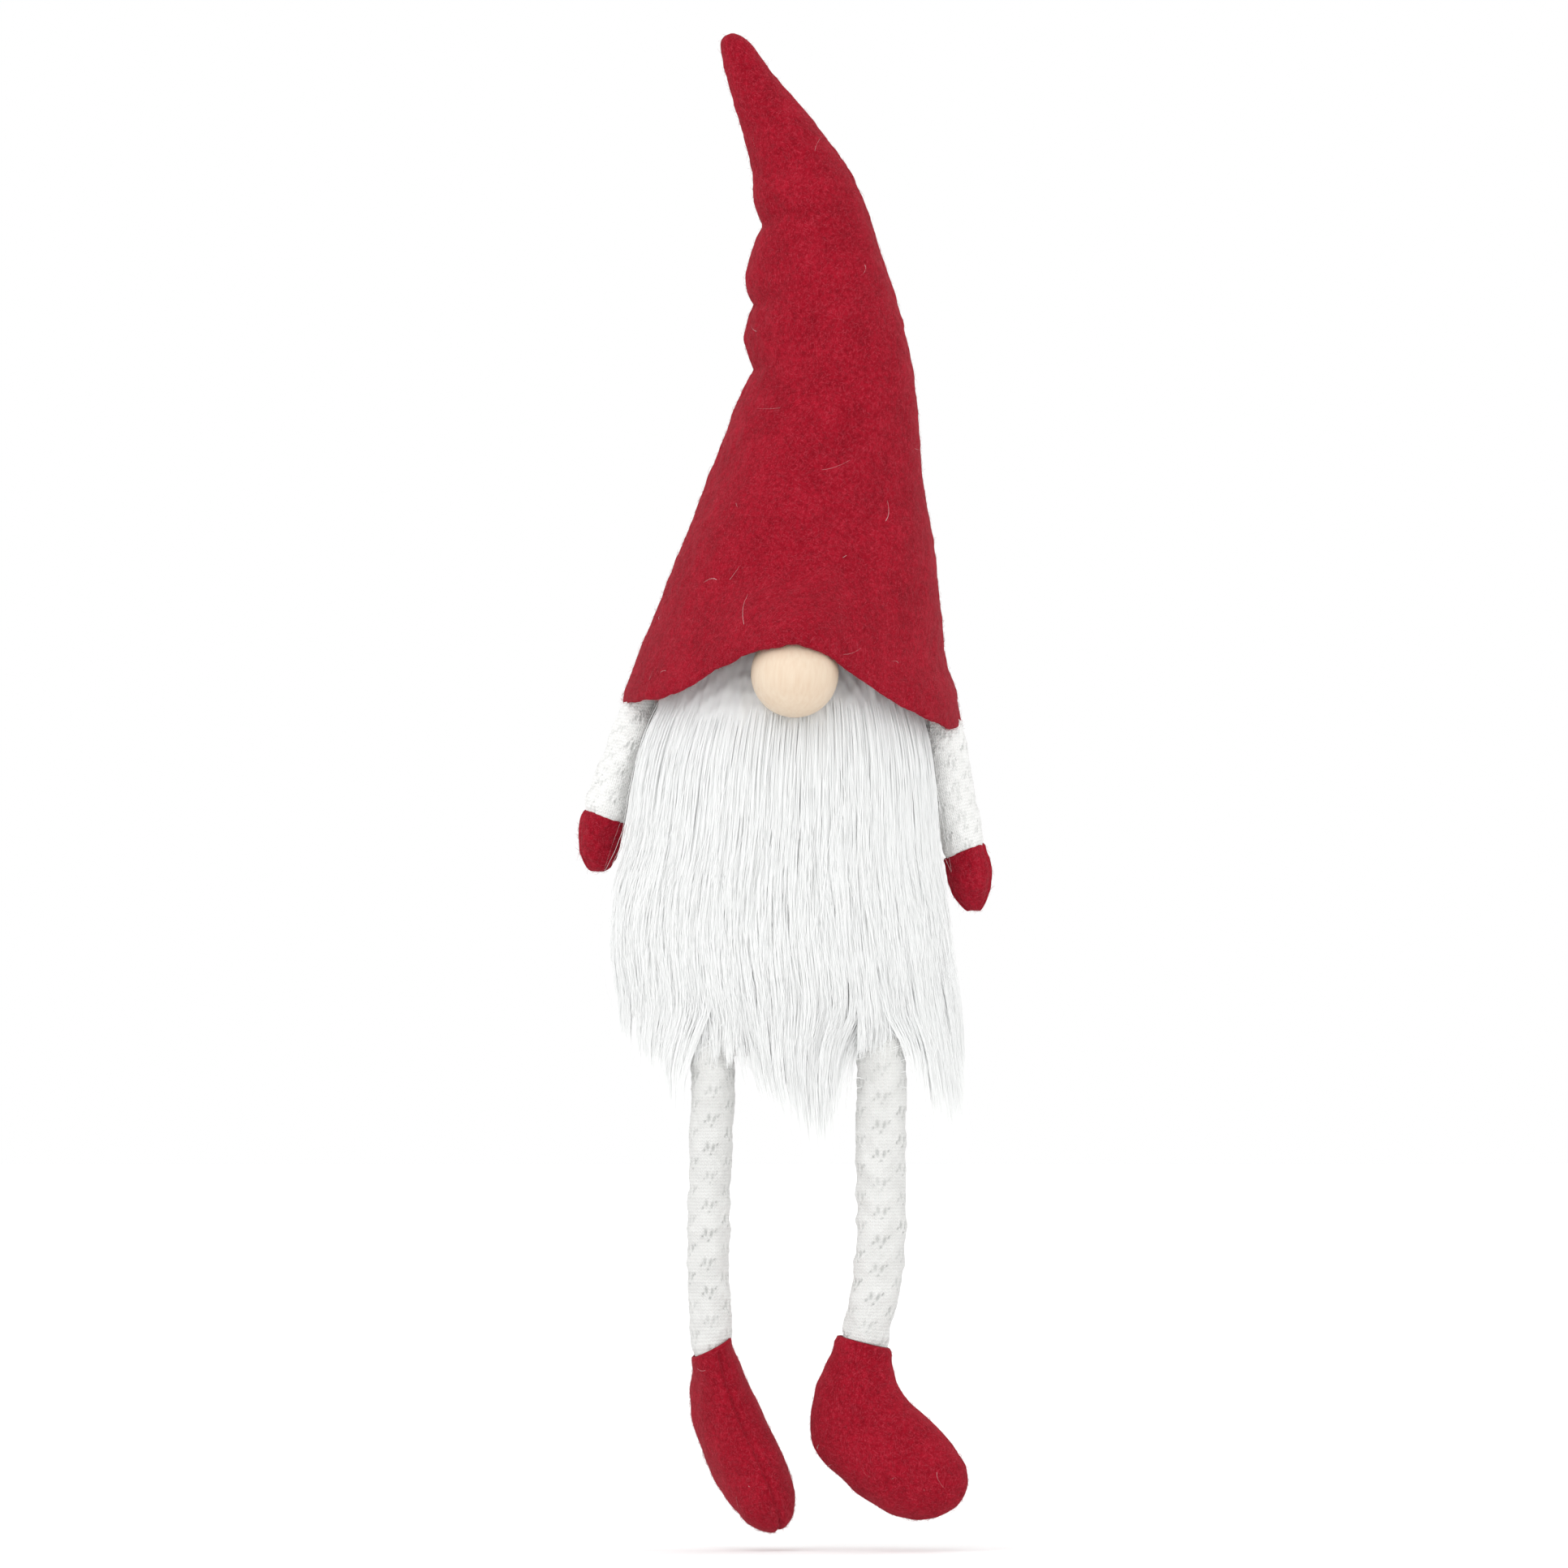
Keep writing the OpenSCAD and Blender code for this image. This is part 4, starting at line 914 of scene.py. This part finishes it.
def shoe_grid(s):
    """Shoe s in its own frame: the ankle at the origin, the toe towards +X."""
    angle = turns(SHOE_COLUMNS)
    t = np.linspace(0, 1, SHOE_ROWS)
    deepest = SHOE_OUTLINE[-1][0]
    collar, sole = -1.0, deepest - 0.01
    depth = collar + (sole - collar) * np.sin(t * np.pi / 2) ** 1.12
    rounded = [(-math.sqrt(deepest - row[0]), *row[1:]) for row in SHOE_OUTLINE]
    heel, toe, half = through(rounded, -np.sqrt(deepest - depth))
    middle, reach = (heel + toe) / 2, (toe - heel) / 2
    grid = level_rings(-depth, middle, 0, reach, half, SHOE_COLUMNS)
    fullness = 1 + 0.05 * np.sin(angle * 2) ** 2 * ease(t, 0.1, 0.35)[:, None]
    grid[..., 1] *= fullness * SHOE_SLIM[s]
    grid[..., 2] *= SHOE_LENGTH[s]
    rise = grid[..., 0] * COLLAR_RISE[s][0] + grid[..., 1] * COLLAR_RISE[s][1] + COLLAR_RISE[s][2]
    rise = rise * ((1 - np.clip(t / COLLAR_SHARE, 0, 1)) ** 2)[:, None]
    grid[..., 2] += rise
    grid[..., 0] -= COLLAR_PULL[s] * rise
    side = np.abs(grid[..., 1])
    seam = -0.85 * bump_at(side, 0, 0.65) + 0.22 * bump_at(side, 2.0, 1.1)
    fade = ease(1 - t, 0, 0.04)[:, None] * ease(t, 0, 0.03)[:, None]
    sag = 0.30 * ripple(grid, 26, 100 + s) + 0.16 * ripple(grid, 9, 102 + s)
    grid = grid[:, ::-1]
    depth = (seam + sag)[:, ::-1] * fade - 0.15 * (1 - fade)
    grid = pushed(grid, depth)
    lip = grid[0] + (grid[0].mean(0) - grid[0]) * 0.10 + [0, 0, 0.35]
    lining = grid[0] + (grid[0].mean(0) - grid[0]) * 0.2 - [0, 0, 2.5]
    return np.concatenate([lining[None], lip[None], grid])


def shoe_pieces(s, felt, fuzz, lint):
    """Felt shoe s, sewn from two halves that meet in a sunk seam from ankle to toe and heel."""
    name = SIDE_NAME[s]
    attitude = about_y(-FOOT_LEAN[s]) @ about_z(TOE_TURN[s] - 90) @ about_y(FOOT_DROOP[s])
    grid = shoe_grid(s) @ attitude.T + joint_anchor(f"ankle_{name}")
    shoe = grid_piece(f"shoe_{name}", grid, felt, head=True)
    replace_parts(shoe, *[f"shoe_{part}_{name}" for part in ("inner", "outer", "stuffing")])
    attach(shoe, f"foot_{name}")
    skin, normals = grid[3:-6], grid_normals(grid)[3:-6]
    hairs = felt_fuzz(skin, normals, SHOE_FIBRES, 110 + s, 3.2, 0.5)
    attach(fuzz_piece(f"shoe_fuzz_{name}", hairs, fuzz), f"foot_{name}")
    threads = felt_fuzz(skin, normals, SHOE_LINT, 120 + s, 7.5, 1.1)
    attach(fuzz_piece(f"shoe_lint_{name}", threads, lint, LINT_WIDE), f"foot_{name}")


# ---- Beard -------------------------------------------------------------------------
FUR_LOW, FUR_HIGH = corners("beard_pile")
FUR_TOP = FUR_HIGH[2] + 1.5
FUR_FOOT = FUR_LOW[2]
HAIR_L = 62.0
HAIR_POINTS = 9
BACKING = 1.6
BEARD_COS = 0.94
# Height, then the right and left edge of the beard from the front
BEARD_EDGES = [
    (12, -59.5, 58.3), (28, -63.0, 57.2), (42, -64.6, 55.6), (56, -63.2, 53.6), (70, -59.4, 51.0),
    (84, -57.5, 50.5), (98, -56.8, 50.0), (111, -55.5, 49.5), (124, -53.0, 48.0), (137, -49.0, 45.0)]
# Height, then how deep the fur is in front of its backing
FUR_DEPTH = [(-45, 5.0), (-20, 8.5), (0, 12.0), (14, 14.5), (45, 15.5), (75, 13.5), (100, 11.0), (136, 8.0)]
# Height, then the edges of each lock below the seat
LOCKS = [
    [(-32, -50.0, -38.0), (-8, -56.0, -36.0), (2, -58.8, -33.0), (14, -60.0, -28.5)],
    [(-50, -2.0, 16.0), (-24, -12.0, 19.0), (-8, -18.0, 20.5), (3, -21.0, 23.0), (14, -25.5, 29.0)],
    [(-52, 48.0, 65.0), (-20, 41.5, 61.5), (2, 38.0, 59.0), (14, 32.0, 58.5)]]
# Share of the way across each lock, then the height of its lowest tips there
LOCK_TIPS = [
    [(0.0, 7), (0.25, -3), (0.57, -16), (0.82, -32), (1.0, -18)],
    [(0.0, -8), (0.30, -29), (0.58, -41), (0.78, -48), (1.0, -28)],
    [(0.0, -8), (0.25, -28), (0.55, -43), (0.82, -48), (1.0, -20)]]
# Where the locks part, as shares of the way across the beard. A leg hangs at each parting.
LOCK_SHARE = np.array([0.0, 0.29, 0.77, 1.0])
LOCK_NAMES = ["right", "middle", "left"]
PARTING_HALF = 8.5 / 120
HEM_LOW, HEM_HIGH = -5.0, 12.0
# How many ragged tufts, large clumps and small clumps there are across the beard
TUFTS, LARGE_CLUMPS, SMALL_CLUMPS = 46, 22, 74
# Each coat of hair: name, count, depths of its tips, straying and thickness
COATS = [
    ("inner", 9000, (0.45, 0.85), 0.0, 1.2), ("outer", 22000, (0.8, 1.02), 0.0, 1.0),
    ("loose", 900, (1.0, 1.14), 0.04, 0.75)]
# Share of the way along a hair, then its width
HAIR_WIDTH = [(0, 0.30), (0.25, 0.31), (0.7, 0.24), (1, 0.06)]


def fur_spot(share, z, depth):
    """Points of the fur at a share of the way across the beard, a height, and a depth from 0
    at the backing to 1 at its outside."""
    edge_low, edge_high = through(BEARD_EDGES, z)
    wide, deep = body_at(np.maximum(z, 12))
    across = (2 * share - 1) * BEARD_COS
    skin_x = across * (wide + BACKING)
    outer_x = edge_low + (edge_high - edge_low) * share
    out = np.sqrt(np.maximum(1 - across ** 2, 0))
    y = -out * (deep + BACKING + depth * through(FUR_DEPTH, z))
    return skin_x + (outer_x - skin_x) * depth, y


def which_lock(share):
    """Number of the lock at a share of the way across the beard."""
    return np.searchsorted(LOCK_SHARE[1:3], share)


def lock_bottom(share):
    """Height of the lowest hair tips at a share of the way across the beard."""
    ends = zip(LOCK_SHARE, LOCK_SHARE[1:], LOCK_TIPS)
    heights = [np.interp((share - low) / (high - low), *zip(*rows)) for low, high, rows in ends]
    return np.choose(which_lock(share), heights)


def lock_spot(share, z):
    """Sideways place, at the height z, of hair that has parted into its lock."""
    x = 0 * share
    for k, rows in enumerate(LOCKS):
        inside = (share >= LOCK_SHARE[k]) & (share <= LOCK_SHARE[k + 1] + (k == 2))
        q = (share - LOCK_SHARE[k]) / (LOCK_SHARE[k + 1] - LOCK_SHARE[k])
        low, high = through(rows, z)
        x = np.where(inside, low + (high - low) * q, x)
    return x


def clumped(share, end_z, seed, across, tall):
    """Middle share of the clump that each hair leans to, and a seeded number for its clump."""
    row = np.floor(end_z / tall).astype(int)
    shift = np.abs(np.sin(row * 12.9898 + seed)) % 1
    cell = np.floor(share * across + shift)
    number = np.abs(np.sin(cell * 78.233 + row * 37.719 + seed) * 43758.5453) % 1
    return (cell - shift + 0.2 + 0.6 * number) / across, number


def clear_of_nose(points):
    """The points, with any that are inside the nose moved out to just off its surface."""
    from_nose = points - NOSE
    far = np.linalg.norm(from_nose, axis=-1, keepdims=True)
    room = NOSE_R + NOSE_ROOM
    return np.where(far < room, NOSE + from_nose / np.maximum(far, 1e-6) * room, points)


def beard_hairs(count, seed, depth_range, root_range, stray=0.0):
    """Spines of hairs that grow from the backing, fall, clump and part into three locks."""
    draw = np.random.default_rng(seed)
    share = draw.random(count)
    root_z = root_range[0] + (root_range[1] - root_range[0]) * draw.random(count)
    length = HAIR_L * (1 + 0.10 * draw.normal(size=count).clip(-2, 2))
    end_z = root_z - length
    bottom = lock_bottom(share)
    ragged = np.abs(np.sin(np.floor(share * TUFTS) * 78.233) * 437.585) % 1
    lowest = bottom + 12 * ragged ** 1.5 + (HEM_HIGH - bottom) * 0.85 * draw.random(count)
    over_leg = np.abs(share[:, None] - LOCK_SHARE[1:3]).min(1) < PARTING_HALF
    short = over_leg & (draw.random(count) < 0.8)
    hem = HEM_LOW + 5 * ragged + (HEM_HIGH - HEM_LOW) * draw.random(count) ** 1.2
    lowest = np.where(short, hem, lowest)
    end_z = np.maximum(end_z, lowest)
    coarse, tone = clumped(share, end_z, seed, LARGE_CLUMPS, 24)
    fine, fine_tone = clumped(share, end_z, seed + 1, SMALL_CLUMPS, 9)
    t = np.linspace(0, 1, HAIR_POINTS)[None, :]
    pull = t ** 1.7
    lean = share[:, None] + (coarse - share)[:, None] * (0.12 + 0.20 * tone[:, None]) * pull
    lean += (fine[:, None] - lean) * (0.10 + 0.28 * fine_tone[:, None]) * pull
    wave = 0.0035 * np.sin(2 * np.pi * (t * (0.6 + draw.random((count, 1))) + draw.random((count, 1))))
    lean = lean + wave * t + stray * draw.normal(0, 1, (count, 1)) * t ** 2
    lock = which_lock(share)[:, None]
    locked = np.clip(lean, LOCK_SHARE[lock], LOCK_SHARE[lock + 1])
    z = root_z[:, None] + (end_z - root_z)[:, None] * t
    low, high = depth_range
    final = low + (high - low) * (0.65 * draw.random(count) + 0.35 * tone)
    depth = final[:, None] * (1 - (1 - t) ** 2.2)
    x, y = fur_spot(np.clip(lean, -0.02, 1.02), z, depth)
    parted = (1 - ease(z, 8, 30)) * np.where(short, 0.0, 1.0)[:, None]
    x = x + (lock_spot(locked, z) - x) * parted
    y = y + 0.5 * np.sin(z * 0.11 + tone[:, None] * 6)
    return clear_of_nose(np.stack([x, y, z], axis=-1)), share


def hair_facing(spines, seed, roll):
    """Way that each hair ribbon looks: out from the body, rolled a little."""
    draw = np.random.default_rng(seed)
    out = unit(spines * [0.45, 1, 0]) + [0, 0, 0.12]
    return unit(out + draw.normal(0, roll, (len(spines), 1, 3)))


def beard_underfur(fur):
    """Dense lower fur over the backing, combed into upright streaks. Its back half is inside
    the body, so that it shuts behind the beard."""
    columns, rows = 420, 150
    z = np.linspace(FUR_FOOT - 1.5, FUR_TOP + 2, rows)[:, None]
    angle = turns(columns)
    wide, deep = body_at(z)
    share = (np.cos(angle) / BEARD_COS + 1) / 2
    front = ease(-np.sin(angle), 0.30, 0.42) * ease(z, FUR_FOOT - 2, FUR_FOOT + 5)
    x, y = fur_spot(np.clip(share, 0, 1) + 0 * z, z + 0 * angle, 0.5)
    hidden_x, hidden_y = (wide - 3) * np.cos(angle), (deep - 3) * np.sin(angle)
    x = hidden_x + (x - hidden_x) * front
    y = hidden_y + (y - hidden_y) * front
    grid = np.stack([x, y, z + 0 * angle], axis=-1)
    streaks = ripple(grid * [1, 1, 0.07], 2.6, 121) * 0.30 + ripple(grid * [1, 1, 0.12], 7, 122) * 0.35
    grid = pushed(grid, streaks * front)
    grid = clear_of_nose(grid)
    # Painted shade: the underfur is darker in the grooves of its streaks, and its reach of 0.35 gives it the
    # darker colour of hair near the root.
    tone = 0.5 + 0.25 * streaks
    marks = {"strand": tone, "reach": 0.35 + 0 * tone}
    under = grid_piece("beard_underfur", grid, fur, marks=marks, foot=True, head=True)
    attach(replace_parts(under, "beard_backing", "beard_pile"), "torso")


def beard_pieces(fur):
    """The beard: its dense underfur, and long hairs in a right, a middle and a left mass."""
    beard_underfur(fur)
    width = np.interp(np.linspace(0, 1, HAIR_POINTS), *zip(*HAIR_WIDTH))
    for c, (coat, count, depths, stray, thick) in enumerate(COATS):
        spines, share = beard_hairs(count, 131 + c, depths, (FUR_FOOT + 3, FUR_TOP), stray)
        for k, name in enumerate(LOCK_NAMES):
            hairs = spines[(share >= LOCK_SHARE[k]) & (share < LOCK_SHARE[k + 1] + (k == 2))]
            seed = 140 + 3 * c + k
            wide = np.broadcast_to(thick * width, hairs.shape[:2])
            piece = ribbons(f"beard_{coat}_{name}", hairs, wide, hair_facing(hairs, seed, 0.2),
                            fur, hair_facing(hairs, seed, 0.1))
            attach(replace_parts(piece, f"beard_lock_{name}"), "torso")


# ---- Pieces inside the figure ------------------------------------------------------
def dress_hidden_nodes():
    """Materials for the CAD pieces that stay inside: card, pellets, their bag and the wires."""
    card = hidden_material("seat_card", (0.42, 0.30, 0.18), (0.52, 0.39, 0.25), 0.6, 0.1, Roughness=0.85)
    pellet = hidden_material("pellet_plastic", (0.50, 0.52, 0.56), (0.66, 0.68, 0.72), 3.0, 1.2,
                             Roughness=0.4)
    wire = hidden_material("hat_wire", (0.42, 0.42, 0.44), (0.55, 0.55, 0.57), 0.3, 0.02,
                           Roughness=0.35, Metallic=1.0)
    cloth = hidden_material("bag_cloth", (0.74, 0.74, 0.73), (0.86, 0.86, 0.85), 0.5, 0.1, Roughness=0.9)
    dressed = {
        "seat_card": card, "pellets": pellet, "pellet_bag_top": cloth, "pellet_bag_bottom": cloth,
        "hat_wire": wire, "hat_fold_1_wire": wire, "hat_fold_2_wire": wire, "hat_tip_wire": wire}
    for name, material in dressed.items():
        slots = frame["nodes"][name].data.materials
        slots.clear()
        slots.append(material)


# ---- Studio ------------------------------------------------------------------------
VIEW_WIDTH = 0.537
VIEW_X, VIEW_Z = -0.0028, 0.0929
LENS, SENSOR = 600.0, 36.0
SUN_SPREAD = math.radians(70)
FLOOR_GAP, FLOOR_REACH = 0.006, 9.0


def studio_camera():
    """Long lens, level and straight in front, as wide as the object's own picture."""
    data = bpy.data.cameras.new("camera")
    data.lens, data.sensor_width = LENS, SENSOR
    data.clip_start, data.clip_end = 0.05, 40.0
    camera = in_scene("camera", data)
    camera.location = (VIEW_X, -VIEW_WIDTH * LENS / SENSOR, VIEW_Z)
    camera.rotation_euler = (math.pi / 2, 0, 0)
    bpy.context.scene.camera = camera


def soft_sun(name, way, strength):
    """Very wide, soft light that comes from a direction."""
    data = bpy.data.lights.new(name, "SUN")
    data.energy, data.angle = strength, SUN_SPREAD
    in_scene(name, data).rotation_euler = Vector(way).to_track_quat("Z", "Y").to_euler()


def studio_world():
    """Even white surroundings."""
    world = bpy.data.worlds.new("studio")
    world.use_nodes = True
    background = world.node_tree.nodes["Background"]
    background.inputs["Color"].default_value = (1, 1, 1, 1)
    background.inputs["Strength"].default_value = 1.0
    bpy.context.scene.world = world
    bpy.context.scene.view_settings.view_transform = "Standard"


def floor_piece():
    """Plain pale floor a little under the toes."""
    material, tree = new_material("pale_floor")
    place = add(tree, "TexCoord").outputs["Object"]
    grain = add(tree, "TexNoise", {"Vector": place, "Scale": 60.0, "Detail": 3.0}).outputs["Fac"]
    colour = ramp(tree, grain, (0.3, grey(0.90)), (0.7, grey(0.93)))
    finish_surface(tree, colour, grain, 0.05, Roughness=0.9, Specular_IOR_Level=0.1)
    low = cad_box[0].z - FLOOR_GAP
    reach = FLOOR_REACH
    mesh = bpy.data.meshes.new("floor")
    sides = [(-reach, -reach), (reach, -reach), (reach, reach), (-reach, reach)]
    mesh.from_pydata([(x, y, low) for x, y in sides], [], [(0, 1, 2, 3)])
    mesh.materials.append(material)
    in_scene("floor", mesh)


# ---- Assembly ----------------------------------------------------------------------
studio_camera()
studio_world()
soft_sun("key", (-0.55, -0.75, 0.95), 0.70)
soft_sun("front", (0.1, -1.0, 0.1), 0.75)
soft_sun("back", (0.6, 0.9, 0.7), 0.35)
floor_piece()

felt = felt_material()
felt_fibre = fuzz_material("felt_fibre", (0.22, 0.005, 0.016), (0.50, 0.055, 0.080))
lint = fuzz_material("pale_lint", (0.62, 0.34, 0.36), (0.88, 0.80, 0.78))
# In both knits the last colour is the painted shade inside the eyelets.
# The body, seat and sleeve knit is the same cloth as the leg knit, painted lighter to lift the shade that
# the hat brim and the beard cast on the sleeves.
knit = knit_material("white_knit", (0.80, 0.80, 0.785), (0.89, 0.89, 0.875), (0.60, 0.61, 0.595))
leg_knit = knit_material("leg_knit", (0.66, 0.66, 0.645), (0.75, 0.75, 0.735), (0.50, 0.51, 0.495))
# The root colour of the beard is painted shade for the depth of the fur.
fur = fur_material("beard_fur", (0.93, 0.94, 0.94), (0.985, 0.99, 0.985))

hat_pieces(felt, felt_fibre, lint)
nose_piece(wood_material())
body_piece(knit)
seat_piece(knit)
for side in (RIGHT, LEFT):
    sleeve_piece(side, knit)
    mitten_piece(side, felt, felt_fibre)
    leg_pieces(side, leg_knit)
    shoe_pieces(side, felt, felt_fibre, lint)
beard_pieces(fur)
dress_hidden_nodes()
